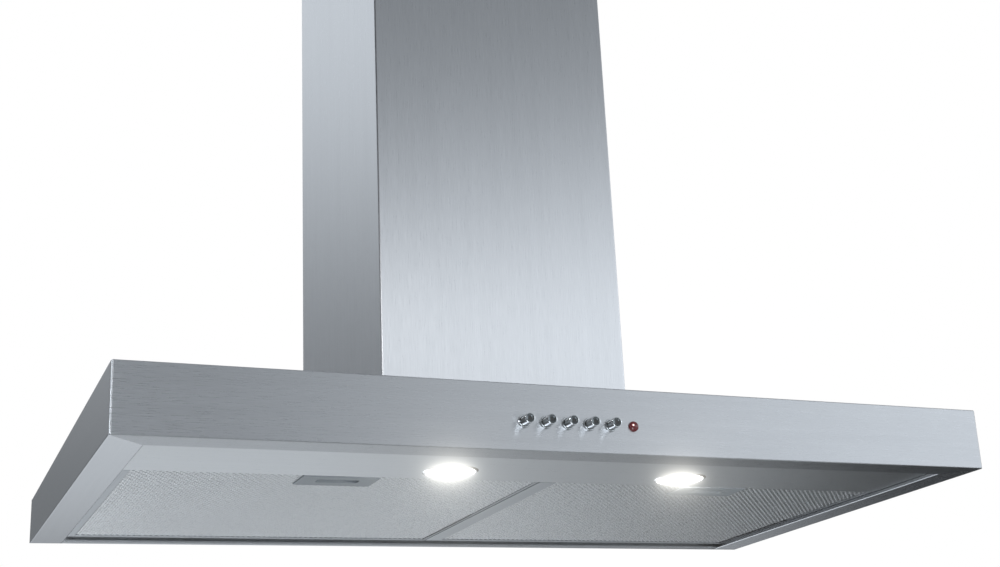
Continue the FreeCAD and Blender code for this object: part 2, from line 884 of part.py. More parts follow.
def make_switch_block():
    """Row of five push switches on feet behind the front panel."""
    inner = front_face + s.sheet
    front = front_face + s.switch_setback
    back = front + s.switch_depth
    low, high = about(s.button_height, s.switch_height)
    left = button_places[0] - s.switch_margin
    right = button_places[-1] + s.switch_margin
    bores = [
        rod(f"switch_bore_{index}", "y", (x, s.button_height), s.stem_radius + s.stem_play,
            front - s.overrun, front + s.switch_bore_depth)
        for index, x in enumerate(button_places, start=1)
    ]
    body = fuse(
        "switch_solid",
        block("switch_body", (left, right), (front, back), (low, high)),
        block("switch_foot_left", (left, left + s.switch_foot), (inner, front), (low, high)),
        block("switch_foot_right", (right - s.switch_foot, right), (inner, front), (low, high)),
    )
    node("switch_block", cut("switch_cut", body, *bores))


def make_pilot_lamp():
    """Red domed lens held by a nut behind the panel."""
    centre = (pilot_place, s.button_height)
    rim_front = front_face - s.pilot_rim
    ball = doc.addObject("Part::Sphere", "pilot_ball")
    bind(ball, "Radius", s.pilot_dome_radius)
    place(ball, pilot_place, rim_front - s.pilot_dome_height + s.pilot_dome_radius, s.button_height)
    cap = common("pilot_cap", ball, rod("pilot_cap_rod", "y", centre, s.pilot_radius,
                                        rim_front - s.pilot_dome_radius, rim_front))
    node("pilot_lens", fuse(
        "pilot_fused", cap,
        rod("pilot_flange", "y", centre, s.pilot_radius, rim_front, front_face),
        rod("pilot_neck", "y", centre, s.pilot_neck_radius, rim_front,
            front_face + s.pilot_neck_length)))
    inner = front_face + s.sheet
    node("pilot_nut", tube("pilot_nut_ring", "y", centre, s.pilot_nut_radius,
                           s.pilot_neck_radius + s.pilot_play, inner, inner + s.pilot_nut_height))


# Blower

scroll_front = fan_y - s.scroll_half_width
scroll_back = fan_y + s.scroll_half_width
impeller_radius = s.scroll_radius - s.scroll_wall - s.impeller_gap
impeller_half_width = s.scroll_half_width - s.impeller_side_gap
blade_inner = impeller_radius - s.blade_depth


def make_blower_box():
    """Sheet box open at the bottom, with a flange that follows the lid."""
    half = box_half
    low, high = box_front, box_back
    top = s.box_top
    wall = s.sheet
    outer = prism("box_outer", "x", [(low, lid_top(low)), (high, lid_top(high)), (high, top), (low, top)],
                  -half, half)
    inner = block("box_inner", (wall - half, half - wall), (low + wall, high - wall),
                  (ZERO, top - wall))
    flange = prism("box_flange_strip", "x",
                   sloping(low - s.box_flange, high + s.box_flange, s.sheet, ZERO),
                   -half - s.box_flange, half + s.box_flange)
    outlet = rod("box_outlet", "z", (ZERO, fan_y), s.collar_outer, top - wall - s.overrun,
                 top + s.overrun)
    node("blower_box", cut("box_cut", fuse("box_folded", outer, flange), inner, outlet,
                           *flange_holes("box")))
    screws = []
    for spot, x, y in flange_spots():
        seat = shell_top(y - s.screw_head_radius)
        screws.append(fuse(
            f"blower_screw_{spot}",
            rod(f"screw_head_{spot}", "z", (x, y), s.screw_head_radius, seat,
                seat + s.screw_head_height),
            rod(f"screw_shank_{spot}", "z", (x, y), s.screw_radius, seat - s.screw_length, seat)))
    node("blower_screws", group("blower_screw_group", *screws))


def scroll_form(name, inset, top):
    """Round fan chamber with its throat rising on one side to the outlet."""
    radius = s.scroll_radius - inset
    front, back = scroll_front + inset, scroll_back - inset
    return fuse(
        name,
        rod(f"{name}_round", "y", fan_centre, radius, front, back),
        block(f"{name}_throat", (-radius, s.scroll_throat - inset), (front, back),
              (fan_height, top)),
    )


def make_scroll():
    top = s.box_top - s.sheet
    inlet = rod("scroll_inlet_bore", "y", fan_centre, s.scroll_inlet,
                scroll_front - s.overrun, scroll_back + s.overrun)
    node("scroll_housing", cut(
        "scroll_cut", scroll_form("scroll_outer", ZERO, top),
        scroll_form("scroll_inner", s.scroll_wall, top + s.overrun), inlet))


def make_impeller():
    """Drum of curved-forward blades on a middle disc and two end rings."""
    body = doc.addObject("PartDesign::Body", "impeller_body")
    place(body, ZERO, fan_y, fan_height)

    def pad(name, length, draw, start=None):
        sketch = new_sketch(body, f"{name}_sketch", "y")
        draw(sketch)
        feature = body.newObject("PartDesign::Pad", name)
        feature.Profile = sketch
        bind(feature, "Length", length)
        if start is None:
            feature.Midplane = True
        else:
            feature.Reversed = True
            bind(sketch, "AttachmentOffset.Base.z", -start)
        return feature

    bore = s.shaft_radius + s.shaft_play

    def disc(sketch):
        draw_circle(sketch, ZERO, ZERO, impeller_radius)
        draw_circle(sketch, ZERO, ZERO, bore)

    def hub(sketch):
        draw_circle(sketch, ZERO, ZERO, s.hub_radius)
        draw_circle(sketch, ZERO, ZERO, bore)

    def end_ring(sketch):
        draw_circle(sketch, ZERO, ZERO, impeller_radius)
        draw_circle(sketch, ZERO, ZERO, impeller_radius - s.impeller_ring)

    def blade(sketch):
        outer = impeller_radius - s.blade_tip_gap
        draw_outline(sketch, [
            (blade_inner, ZERO), (outer, s.blade_lead),
            (outer, s.blade_lead + s.blade_thickness), (blade_inner, s.blade_thickness),
        ])

    pad("impeller_middle", s.impeller_disc, disc)
    pad("impeller_hub", s.hub_length, hub, ZERO)
    pad("impeller_ring_front", s.impeller_disc, end_ring, -impeller_half_width)
    pad("impeller_ring_back", s.impeller_disc, end_ring, impeller_half_width - s.impeller_disc)
    first = pad("impeller_blade", impeller_half_width * 2, blade)
    doc.recompute()
    fan = body.newObject("PartDesign::PolarPattern", "impeller_blades")
    fan.Originals = [first]
    turning = next(f for f in body.Origin.OriginFeatures if f.Role == "Y_Axis")
    fan.Axis = (turning, [""])
    fan.Angle = 360
    bind(fan, "Occurrences", s.blade_count)
    body.Tip = fan
    node("impeller", body)


motor_front = scroll_front
motor_back = fan_y - s.impeller_disc / 2 - s.motor_disc_gap


def make_motor():
    """Outer shell with a running bore for the shaft, on a three-armed bracket."""
    bore = s.shaft_radius + s.shaft_play
    shell = rod("motor_shell", "y", fan_centre, blade_inner - s.motor_side_gap,
                motor_front, motor_back)
    shaft_hole = rod("motor_bore", "y", fan_centre, bore, motor_front + s.motor_end_wall,
                     motor_back + s.overrun)
    node("motor_stator", cut("motor_cut", shell, shaft_hole))
    node("motor_shaft", rod("shaft_rod", "y", fan_centre, s.shaft_radius,
                            motor_front + s.motor_end_wall + s.motor_air_gap,
                            fan_y + s.hub_length + s.shaft_tail))
    plate_y = (motor_front - s.bracket_thickness, motor_front)
    pieces = [rod("bracket_hub_disc", "y", fan_centre, s.bracket_hub, *plate_y)]
    for index in range(int(s.bracket_arms.value)):
        arm = doc.addObject("Part::Box", f"bracket_arm_{index + 1}")
        bind(arm, "Length", s.bracket_reach)
        bind(arm, "Width", s.bracket_thickness)
        bind(arm, "Height", s.bracket_arm)
        turn = 2 * math.pi * index / s.bracket_arms.value + math.pi / 2
        arm.Placement = FreeCAD.Placement(Vector(), Rotation(Vector(0, -1, 0), math.degrees(turn)))
        half_arm = s.bracket_arm / 2
        place(arm, half_arm * math.sin(turn), plate_y[0],
              fan_height - half_arm * math.cos(turn))
        pieces.append(arm)
    node("motor_bracket", fuse("bracket_fused", *pieces))


# Outlet collar and non-return flaps

duct_base = s.box_top + s.duct_flange_thickness
duct_inner = s.collar_outer - s.duct_wall
stop_top = s.box_top + s.stop_height
duct_top = s.box_top + s.duct_height
knuckle_bore = s.flap_pin_radius + s.knuckle_play
knuckle_outer = knuckle_bore + s.knuckle_wall
flap_low = stop_top + s.flap_play
flap_pin_z = flap_low + knuckle_outer


def make_outlet_collar():
    centre = (ZERO, fan_y)
    solid = fuse(
        "collar_solid",
        rod("collar_flange", "z", centre, s.collar_outer + s.duct_flange, s.box_top, duct_base),
        rod("collar_wall", "z", centre, s.collar_outer, s.box_top, duct_top),
    )
    stop = tube("collar_stop", "z", centre, duct_inner + s.duct_wall / 2, duct_inner - s.stop_width,
                stop_top - s.stop_thickness, stop_top)
    bridge_bar = block("collar_bridge_bar", (-s.bridge_half_width, s.bridge_half_width),
                       (fan_y - s.collar_outer, fan_y + s.collar_outer),
                       (stop_top - s.stop_thickness, stop_top))
    bridge = common("collar_bridge", bridge_bar,
                    rod("collar_bridge_disc", "z", centre, duct_inner + s.duct_wall / 2,
                        s.box_top, duct_top))
    hollow = cut("collar_hollow", solid,
                 rod("collar_bore", "z", centre, duct_inner, s.box_top - s.overrun,
                     duct_top + s.overrun))
    node("outlet_collar", fuse("collar_fused", hollow, stop, bridge))
    pins = []
    for name, side in SIDES:
        pin = rod(f"flap_pin_rod_{name}", "y", (s.flap_pin_offset * side, flap_pin_z),
                  s.flap_pin_radius, fan_y - duct_inner, fan_y + duct_inner)
        pins.append(common(f"flap_pin_{name}", pin,
                           rod(f"flap_pin_trim_{name}", "z", centre, duct_inner, stop_top, duct_top)))
    node("flap_pins", group("flap_pin_group", *pins))


def make_flap(name, side):
    """Half disc with a knuckle along its straight edge, closed by its own weight."""
    centre = (ZERO, fan_y)
    edge = duct_inner - s.flap_edge_play
    pin_x = s.flap_pin_offset * side
    disc = rod(f"flap_disc_{name}", "z", centre, edge, flap_low, flap_low + s.flap_thickness)
    keep = block(f"flap_half_{name}", span(side, s.flap_pin_offset, s.collar_outer),
                 (fan_y - s.collar_outer, fan_y + s.collar_outer), (stop_top, duct_top))
    reach = edge - s.stop_width
    knuckle = rod(f"flap_knuckle_{name}", "y", (pin_x, flap_pin_z), knuckle_outer,
                  fan_y - reach, fan_y + reach)
    solid = fuse(f"flap_solid_{name}", common(f"flap_plate_{name}", disc, keep), knuckle)
    node(f"flap_{name}", cut(f"flap_cut_{name}", solid,
                             rod(f"flap_bore_{name}", "y", (pin_x, flap_pin_z), knuckle_bore,
                                 fan_y - s.collar_outer, fan_y + s.collar_outer)))


# Electrical pieces on top of the box

def make_electrics():
    corner_x = box_half - s.corner_margin
    corner_y = box_front + s.corner_margin
    node("capacitor", rod("capacitor_can", "z", (corner_x, corner_y), s.capacitor_radius,
                          s.box_top, s.box_top + s.capacitor_height))
    x = about(-corner_x, s.junction_width)
    top = s.box_top + s.junction_height
    y = about(corner_y, s.junction_length)
    node("junction_box", block("junction_case", x, y, (s.box_top, top)))
    centre = (-corner_x, corner_y)
    gland = fuse("gland_solid",
                 rod("gland_nut", "z", centre, s.gland_nut_radius, top, top + s.gland_nut_height),
                 rod("gland_neck", "z", centre, s.gland_radius, top, top + s.gland_height))
    node("cable_gland", cut("gland_cut", gland,
                            rod("gland_hole", "z", centre, s.gland_bore, top - s.overrun,
                                top + s.gland_height + s.overrun)))


# Chimney covers

def channel(name, half, front, back, low, high):
    """Folded cover: a front, two sides and a narrow return along each back edge."""
    wall = s.sheet
    body = doc.addObject("PartDesign::Body", name)
    sketch = new_sketch(body, f"{name}_outline", "z")
    turn = half - s.chimney_return
    draw_outline(sketch, [
        (-half, front), (half, front), (half, back), (turn, back), (turn, back - wall),
        (half - wall, back - wall), (half - wall, front + wall), (wall - half, front + wall),
        (wall - half, back - wall), (-turn, back - wall), (-turn, back), (-half, back),
    ])
    pad = body.newObject("PartDesign::Pad", f"{name}_pad")
    pad.Profile = sketch
    bind(pad, "Length", high - low)
    bind(body, "Placement.Base.z", low)
    doc.recompute()
    tall = (high - low).value - wall.value
    outer_corners = [
        f"Edge{index}" for index, edge in enumerate(pad.Shape.Edges, start=1)
        if edge.Length > tall
        and abs(abs(edge.CenterOfMass.x) - half.value) < wall.value
        and abs(edge.CenterOfMass.y - front.value) < wall.value / 2
    ]
    bend = body.newObject("PartDesign::Fillet", f"{name}_bend")
    bend.Base = (pad, outer_corners)
    bind(bend, "Radius", s.chimney_bend)
    body.Tip = bend
    return body


def make_lower_cover():
    cover = channel("lower_channel", lower_half, -s.chimney_depth, ZERO, s.back_height - s.overrun,
                    s.chimney_top)
    front = -s.chimney_depth - s.overrun
    low = ZERO - s.overrun
    under = prism("lower_trim", "x", [
        (front, low), (s.overrun, low), (s.overrun, shell_top(s.overrun) + s.seat_play),
        (front, shell_top(front) + s.seat_play),
    ], -lower_half - s.overrun, lower_half + s.overrun)
    node("chimney_lower", cut("lower_cut", cover, under))


def make_upper_cover():
    cover = channel("upper_channel", upper_half, upper_front, upper_back, upper_low, upper_high)
    middle = (upper_front + upper_back) / 2
    slots = [
        block(f"vent_slot_{index + 1}", (-upper_half - s.overrun, upper_half + s.overrun),
              about(middle, s.slot_length),
              about(upper_high - s.slot_top_margin - s.slot_pitch * index, s.slot_height))
        for index in range(int(s.slot_count.value))
    ]
    node("chimney_upper", cut("upper_cut", cover, *slots))


def make_cover_brackets():
    """Two angles on the blower box: the covers are fixed to them and the upper one rests on them."""
    parts = []
    for name, side in SIDES:
        reach = lower_half - s.sheet - s.seat_play
        y = about(fan_y, s.bracket_width)
        parts.append(fuse(
            f"cover_bracket_{name}",
            block(f"cover_leg_{name}", span(side, box_half, box_half + s.sheet), y,
                  (bracket_top - s.bracket_drop, bracket_top)),
            block(f"cover_shelf_{name}", span(side, box_half, reach), y,
                  (bracket_top - s.sheet, bracket_top))))
    node("cover_brackets", group("cover_bracket_group", *parts))


def make_ceiling_bracket():
    """Strap inside the top of the upper cover, screwed to the wall or ceiling."""
    wall = s.sheet
    back = upper_back - wall
    front = back - wall
    outside = upper_half - wall
    high = upper_high - s.ceiling_drop
    z = (high - s.ceiling_strip, high)
    strap = fuse(
        "ceiling_strap",
        block("ceiling_back", (-outside, outside), (front, back), z),
        block("ceiling_arm_left", (-outside, wall - outside), (back - s.ceiling_arm, back), z),
        block("ceiling_arm_right", (outside - wall, outside), (back - s.ceiling_arm, back), z),
    )
    holes = [
        rod(f"ceiling_hole_{name}", "y",
            (s.ceiling_hole_spacing / 2 * side, high - s.ceiling_strip / 2),
            s.ceiling_hole_radius, front - s.overrun, ZERO)
        for name, side in SIDES
    ]
    node("ceiling_bracket", cut("ceiling_cut", strap, *holes))


def build():
    make_front_panel()
    make_rear_panel()
    make_top_lid()
    make_rear_rail()
    make_lamp_panel()
    make_transformer()
    for name, side in SIDES:
        make_side_panel(name, side)
        make_lamp(name, side)
        make_filter(name, side)
        make_handle(name, side)
        make_latch(name, side)
        make_lugs(name, side)
        make_flap(name, side)
    make_buttons()
    make_switch_block()
    make_pilot_lamp()
    make_blower_box()
    make_scroll()
    make_impeller()
    make_motor()
    make_outlet_collar()
    make_electrics()
    make_lower_cover()
    make_upper_cover()
    make_cover_brackets()
    make_ceiling_bracket()


def check_and_write():
    doc.recompute()
    for thing in doc.Objects:
        faults = {"Invalid", "Error"} & set(thing.State)
        if faults:
            raise RuntimeError(f"{thing.Name} did not build: {thing.State}")
    for piece in nodes:
        if piece.Shape.isNull() or not piece.Shape.isValid() or not piece.Shape.Solids:
            raise RuntimeError(f"{piece.Label} has no valid solid")
    os.makedirs("parts", exist_ok=True)
    for piece in nodes:
        piece.Shape.exportStep(os.path.join("parts", f"{piece.Label}.step"))
    print(len(nodes), "nodes written")


build()
check_and_write()
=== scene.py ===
import bmesh
import bpy
import math
from mathutils import Matrix, Vector


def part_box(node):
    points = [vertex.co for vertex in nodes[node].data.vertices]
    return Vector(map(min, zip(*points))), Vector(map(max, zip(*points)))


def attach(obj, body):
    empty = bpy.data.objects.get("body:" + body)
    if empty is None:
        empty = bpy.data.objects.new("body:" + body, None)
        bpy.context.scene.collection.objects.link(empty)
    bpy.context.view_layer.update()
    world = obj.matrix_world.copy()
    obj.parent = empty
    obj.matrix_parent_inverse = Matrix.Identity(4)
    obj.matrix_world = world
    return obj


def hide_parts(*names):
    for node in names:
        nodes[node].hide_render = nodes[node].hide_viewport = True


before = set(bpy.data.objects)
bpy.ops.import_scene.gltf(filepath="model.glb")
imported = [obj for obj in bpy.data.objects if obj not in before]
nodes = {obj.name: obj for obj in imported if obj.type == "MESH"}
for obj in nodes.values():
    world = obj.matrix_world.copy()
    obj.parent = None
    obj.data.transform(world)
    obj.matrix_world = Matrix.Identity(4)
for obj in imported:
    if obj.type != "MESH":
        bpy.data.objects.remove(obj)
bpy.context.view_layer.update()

# Wall-mounted range hood in brushed stainless steel, seen from below its left front corner.
# Metres, in the frame of the solids: X to the right, Y into the wall, Z up, the rim at Z = 0.

MM = 0.001

# Places read from the solids

front_low, front_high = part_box("front_panel")
rear_low, rear_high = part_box("rear_panel")
panel_low, panel_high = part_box("lamp_panel")
cover_low, cover_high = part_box("chimney_lower")
upper_low, upper_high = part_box("chimney_upper")

half_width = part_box("side_panel_right")[1].x
front_face = front_low.y
rim_width = front_high.y - front_face
slope = (front_high.z - rear_high.z) / -front_face


def shell_top(y):
    """Height of the canopy's sloping upper edge at a distance y from the wall."""
    return rear_high.z - y * slope


def middle(node):
    """Centre of a node's box."""
    low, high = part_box(node)
    return (low + high) / 2


# Sheet metal sizes that the solids leave square

SHEET = 1.0 * MM
BEND = 1.2 * MM
EDGE = 0.15 * MM
CORNER = 2.0 * MM
LIP = 10.0 * MM
TOP_FLANGE = 14.0 * MM
BEND_STEPS = 5
CORNER_STEPS = 12

# Holes: their radii, places and the length of the tool that cuts them

BUTTON_BORE = 5.1 * MM
PILOT_BORE = 4.2 * MM
LAMP_BORE = 26.5 * MM
WALL_BORE = 4.0 * MM
WALL_HOLE_REACH = 150.0 * MM
WALL_HOLE_HEIGHT = 33.0 * MM
HOLE_TOOL = 6.0 * MM


# Mesh helpers

def mesh_piece(name, bm, finish, body, slot, *replaced):
    """Turns a built mesh into a finished piece that rides on its body."""
    bmesh.ops.remove_doubles(bm, verts=bm.verts, dist=MM * MM)
    bmesh.ops.dissolve_degenerate(bm, edges=bm.edges, dist=MM * MM)
    bmesh.ops.recalc_face_normals(bm, faces=bm.faces)
    mesh = bpy.data.meshes.new(name)
    bm.to_mesh(mesh)
    bm.free()
    piece = bpy.data.objects.new(name, mesh)
    bpy.context.scene.collection.objects.link(piece)
    mesh.materials.append(finish)
    return settle(piece, body, slot, *replaced)


def settle(piece, body, slot, *replaced):
    """Names a piece's body and the solids that it stands for; the slot is not used."""
    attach(piece, body)
    if replaced:
        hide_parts(*replaced)
    return piece


def evaluated(piece):
    """Bakes a piece's modifiers into its mesh."""
    graph = bpy.context.evaluated_depsgraph_get()
    mesh = bpy.data.meshes.new_from_object(piece.evaluated_get(graph))
    piece.modifiers.clear()
    piece.data = mesh


def bevelled(piece, width, segments=2):
    """Rounds the sharp edges and shades the faces that they leave flat."""
    bevel = piece.modifiers.new("bevel", "BEVEL")
    bevel.width = width
    bevel.segments = segments
    bevel.limit_method = "ANGLE"
    bevel.angle_limit = math.radians(40)
    bevel.harden_normals = True
    piece.data.shade_smooth()
    evaluated(piece)


def smooth_by_angle(piece, degrees=35):
    """Smooth shading that keeps the edges sharper than an angle."""
    piece.data.shade_smooth()
    piece.data.set_sharp_from_angle(angle=math.radians(degrees))


def flat_faced(piece):
    """Smooth bends between faces that keep their own flat shading."""
    smooth_by_angle(piece, 30)
    piece.modifiers.new("weights", "WEIGHTED_NORMAL").keep_sharp = True
    evaluated(piece)


def pierced(piece, cutters, overlapping=False):
    """Takes closed tools away from a piece, whose own shells may overlap, and removes the tools."""
    for tool in cutters:
        cut = piece.modifiers.new("cut", "BOOLEAN")
        cut.operation = "DIFFERENCE"
        cut.solver = "EXACT"
        cut.use_self = overlapping
        cut.object = tool
    bpy.context.view_layer.update()
    evaluated(piece)
    for tool in cutters:
        bpy.data.objects.remove(tool)


def tool_from(bm):
    """A loose object to cut with."""
    bmesh.ops.recalc_face_normals(bm, faces=bm.faces)
    mesh = bpy.data.meshes.new("tool")
    bm.to_mesh(mesh)
    bm.free()
    tool = bpy.data.objects.new("tool", mesh)
    bpy.context.scene.collection.objects.link(tool)
    return tool


def loft(bm, rings, stations):
    """Skins closed rings of equal count. UVs are metres, U across the sheet and V along it.

    A station is one V for its whole ring, or a list with one for each point.
    """
    uv = bm.loops.layers.uv.get("sheet") or bm.loops.layers.uv.new("sheet")
    rows = [[bm.verts.new(point) for point in ring] for ring in rings]
    count = len(rings[0])
    spans = [station if isinstance(station, list) else [station] * count for station in stations]
    across = [0.0]
    for i in range(count):
        step = Vector(rings[0][(i + 1) % count]) - Vector(rings[0][i])
        across.append(across[-1] + step.length)
    for low, high, v_low, v_high in zip(rows, rows[1:], spans, spans[1:]):
        for i in range(count):
            after = (i + 1) % count
            face = bm.faces.new((low[i], low[after], high[after], high[i]))
            spots = ((across[i], v_low[i]), (across[i + 1], v_low[after]),
                     (across[i + 1], v_high[after]), (across[i], v_high[i]))
            for corner, spot in zip(face.loops, spots):
                corner[uv].uv = spot
    for row in (rows[0], rows[-1]):
        cap = bm.faces.new(row)
        for corner in cap.loops:
            x, y, z = corner.vert.co
            corner[uv].uv = (z, x + y)


def block(bm, low, high):
    """A box in the mesh; its brushing runs along its longest side."""
    size = [b - a for a, b in zip(low, high)]
    along = size.index(max(size))
    others = [i for i in range(3) if i != along]
    rings = []
    for end in (low[along], high[along]):
        ring = []
        for u, v in ((0, 0), (1, 0), (1, 1), (0, 1)):
            point = [0.0, 0.0, 0.0]
            point[along] = end
            point[others[0]] = (low, high)[u][others[0]]
            point[others[1]] = (low, high)[v][others[1]]
            ring.append(point)
        rings.append(ring)
    loft(bm, rings, (low[along], high[along]))


def spun(bm, outline, centre, axis, count=64):
    """Turns a closed outline of (radius, height) points about an axis through a centre."""
    turned = Vector((0, 0, 1)).rotation_difference(Vector(axis)).to_matrix()
    origin = Vector(centre)
    rings = []
    for i in range(count):
        cosine = math.cos(2 * math.pi * i / count)
        sine = math.sin(2 * math.pi * i / count)
        ring = [origin + turned @ Vector((r * cosine, r * sine, h)) for r, h in outline]
        rings.append([bm.verts.new(point) for point in ring])
    for ring, after in zip(rings, rings[1:] + rings[:1]):
        for i in range(len(outline)):
            j = (i + 1) % len(outline)
            bm.faces.new((ring[i], ring[j], after[j], after[i]))


def rounded(points, radii, steps=BEND_STEPS):
    """A closed outline with each corner turned into an arc of its own radius."""
    result = []
    count = len(points)
    for i, radius in enumerate(radii):
        corner = Vector(points[i])
        before = (Vector(points[i - 1]) - corner).normalized()
        after = (Vector(points[(i + 1) % count]) - corner).normalized()
        half = before.angle(after) / 2
        centre = corner + (before + after).normalized() * radius / math.sin(half)
        start = corner + before * radius / math.tan(half) - centre
        end = corner + after * radius / math.tan(half) - centre
        turn = math.atan2(start.cross(end), start.dot(end))
        for k in range(steps + 1):
            result.append(tuple(centre + Matrix.Rotation(turn * k / steps, 2) @ start))
    return result


def round_tool(x, y, z, radius, length, axis, count=48):
    """A cylinder to cut a hole with, centred on a point."""
    bm = bmesh.new()
    turned = Vector((0, 0, 1)).rotation_difference(Vector(axis)).to_matrix().to_4x4()
    bmesh.ops.create_cone(bm, cap_ends=True, segments=count, radius1=radius, radius2=radius,
                          depth=length, matrix=Matrix.Translation((x, y, z)) @ turned)
    return tool_from(bm)


def box_tool(low, high):
    """A box to cut a slot with."""
    bm = bmesh.new()
    block(bm, low, high)
    return tool_from(bm)


# Material helpers

def linear(code):
    """Linear colour of an sRGB hex value."""
    shares = [int(code[i:i + 2], 16) / 255 for i in (1, 3, 5)]
    colour = [c / 12.92 if c <= 0.04045 else ((c + 0.055) / 1.055) ** 2.4 for c in shares]
    return (*colour, 1.0)


def put(tree, kind, inputs=(), **settings):
    """Adds a node with its settings; each input is a value or another node's output."""
    node = tree.nodes.new(kind)
    for key, value in settings.items():
        setattr(node, key, value)
    for key, value in dict(inputs).items():
        if isinstance(value, bpy.types.NodeSocket):
            tree.links.new(value, node.inputs[key])
        else:
            node.inputs[key].default_value = value
    return node


def maths(tree, operation, *terms):
    """Adds one arithmetic node; each term is a value or another node's output."""
    return put(tree, "ShaderNodeMath", dict(enumerate(terms)), operation=operation).outputs[0]


def blank(name):
    """A new material, its node tree and its surface shader."""
    material = bpy.data.materials.new(name)
    material.use_nodes = True
    tree = material.node_tree
    tree.nodes.clear()
    shader = put(tree, "ShaderNodeBsdfPrincipled")
    put(tree, "ShaderNodeOutputMaterial", {"Surface": shader.outputs["BSDF"]})
    return material, tree, shader


def ramp(tree, source, low, high, start=0.0, end=1.0):
    """The source's range mapped to another one."""
    return put(tree, "ShaderNodeMapRange", {
        "Value": source, "From Min": start, "From Max": end, "To Min": low, "To Max": high,
    }).outputs["Result"]


def between(tree, source, first, second):
    """A colour between two hex values, by the source."""
    mix = put(tree, "ShaderNodeMix", data_type="RGBA")
    tree.links.new(source, mix.inputs["Factor"])
    mix.inputs["A"].default_value = linear(first)
    mix.inputs["B"].default_value = linear(second)
    return mix.outputs["Result"]


def grain_noise(tree, size, detail):
    """Noise with specks of one size in metres, fixed to the piece."""
    place = put(tree, "ShaderNodeTexCoord").outputs["Object"]
    return put(tree, "ShaderNodeTexNoise", {
        "Vector": place, "Scale": 1 / size, "Detail": detail,
    }).outputs["Fac"]


def raised(tree, shader, source, strength, depth):
    """Lets a pattern stand out of the surface by a depth in metres."""
    bump = put(tree, "ShaderNodeBump", {"Height": source, "Strength": strength, "Distance": depth})
    tree.links.new(bump.outputs["Normal"], shader.inputs["Normal"])


def streaks(tree, coordinates, across, along):
    """Grinding marks: noise stretched along the sheet, `across` and `along` in metres."""
    scale = (1 / across, 1 / along, 0.0)
    place = put(tree, "ShaderNodeMapping", {"Vector": coordinates, "Scale": scale})
    noise = put(tree, "ShaderNodeTexNoise", {
        "Vector": place.outputs["Vector"], "Scale": 1.0, "Detail": 3.0, "Roughness": 0.6,
    })
    return noise.outputs["Fac"]


def brushed_stainless(name, dark="#b7b9bc", light="#c4c6c9", roughness=0.29):
    """Ferritic stainless ground with a belt along the sheet.

    The marks are under a tenth of a millimetre wide. They are drawn as wide as shows in a picture,
    0.7 mm, and 24 mm long, with broad pale bands under them. The shader's anisotropy stands for
    the fine ones: it draws a reflection out across the marks.
    """
    mark_width, mark_length = 0.7 * MM, 24 * MM
    band_width, band_length = 9 * MM, 260 * MM
    material, tree, shader = blank(name)
    uv = put(tree, "ShaderNodeUVMap", uv_map="sheet").outputs["UV"]
    fine = streaks(tree, uv, mark_width, mark_length)
    broad = streaks(tree, uv, band_width, band_length)
    both = maths(tree, "ADD", fine, ramp(tree, broad, 0.0, 0.35))
    tone = ramp(tree, both, 0.0, 1.0, 0.45, 0.9)
    tree.links.new(between(tree, tone, dark, light), shader.inputs["Base Color"])
    spread = ramp(tree, fine, roughness - 0.03, roughness + 0.04, 0.3, 0.7)
    tree.links.new(spread, shader.inputs["Roughness"])
    shader.inputs["Metallic"].default_value = 1.0
    shader.inputs["Anisotropic"].default_value = 0.95
    tangent = put(tree, "ShaderNodeTangent", direction_type="UV_MAP", uv_map="sheet")
    tree.links.new(tangent.outputs["Tangent"], shader.inputs["Tangent"])
    raised(tree, shader, fine, 0.004, 0.05 * MM)
    return material


def zinc_sheet(name):
    """Hot-dip galvanised sheet: flat grey with faint spangle a centimetre across."""
    spangle_size = 11 * MM
    material, tree, shader = blank(name)
    place = put(tree, "ShaderNodeTexCoord").outputs["Object"]
    spangle = put(tree, "ShaderNodeTexVoronoi", {"Vector": place, "Scale": 1 / spangle_size})
    tone = put(tree, "ShaderNodeSeparateColor", {"Color": spangle.outputs["Color"]}).outputs["Red"]
    tree.links.new(between(tree, tone, "#9a9ea2", "#b2b5b8"), shader.inputs["Base Color"])
    tree.links.new(ramp(tree, tone, 0.38, 0.52), shader.inputs["Roughness"])
    shader.inputs["Metallic"].default_value = 1.0
    raised(tree, shader, grain_noise(tree, 1.5 * MM, 2.0), 0.08, 0.05 * MM)
    return material


def bare_metal(name, dark, light, roughness, grain, strength=0.08):
    """Plain metal with a fine all-round grain in mm, as rolled, pressed or plated pieces have."""
    material, tree, shader = blank(name)
    noise = grain_noise(tree, grain * MM, 3.0)
    tree.links.new(between(tree, noise, dark, light), shader.inputs["Base Color"])
    spread = ramp(tree, noise, roughness * 0.85, roughness * 1.15, 0.3, 0.7)
    tree.links.new(spread, shader.inputs["Roughness"])
    shader.inputs["Metallic"].default_value = 1.0
    raised(tree, shader, noise, strength, 0.05 * MM)
    return material


def moulded(name, dark, light, roughness, grain=0.5):
    """Injection moulded plastic: faint clouds of colour and a fine spark-eroded grain in mm."""
    cloud_size = 18 * MM
    material, tree, shader = blank(name)
    noise = grain_noise(tree, grain * MM, 2.0)
    clouds = grain_noise(tree, cloud_size, 2.0)
    tree.links.new(between(tree, clouds, dark, light), shader.inputs["Base Color"])
    spread = ramp(tree, noise, roughness - 0.05, roughness + 0.08, 0.3, 0.7)
    tree.links.new(spread, shader.inputs["Roughness"])
    shader.inputs["IOR"].default_value = 1.53
    raised(tree, shader, noise, 0.12, 0.06 * MM)
    return material


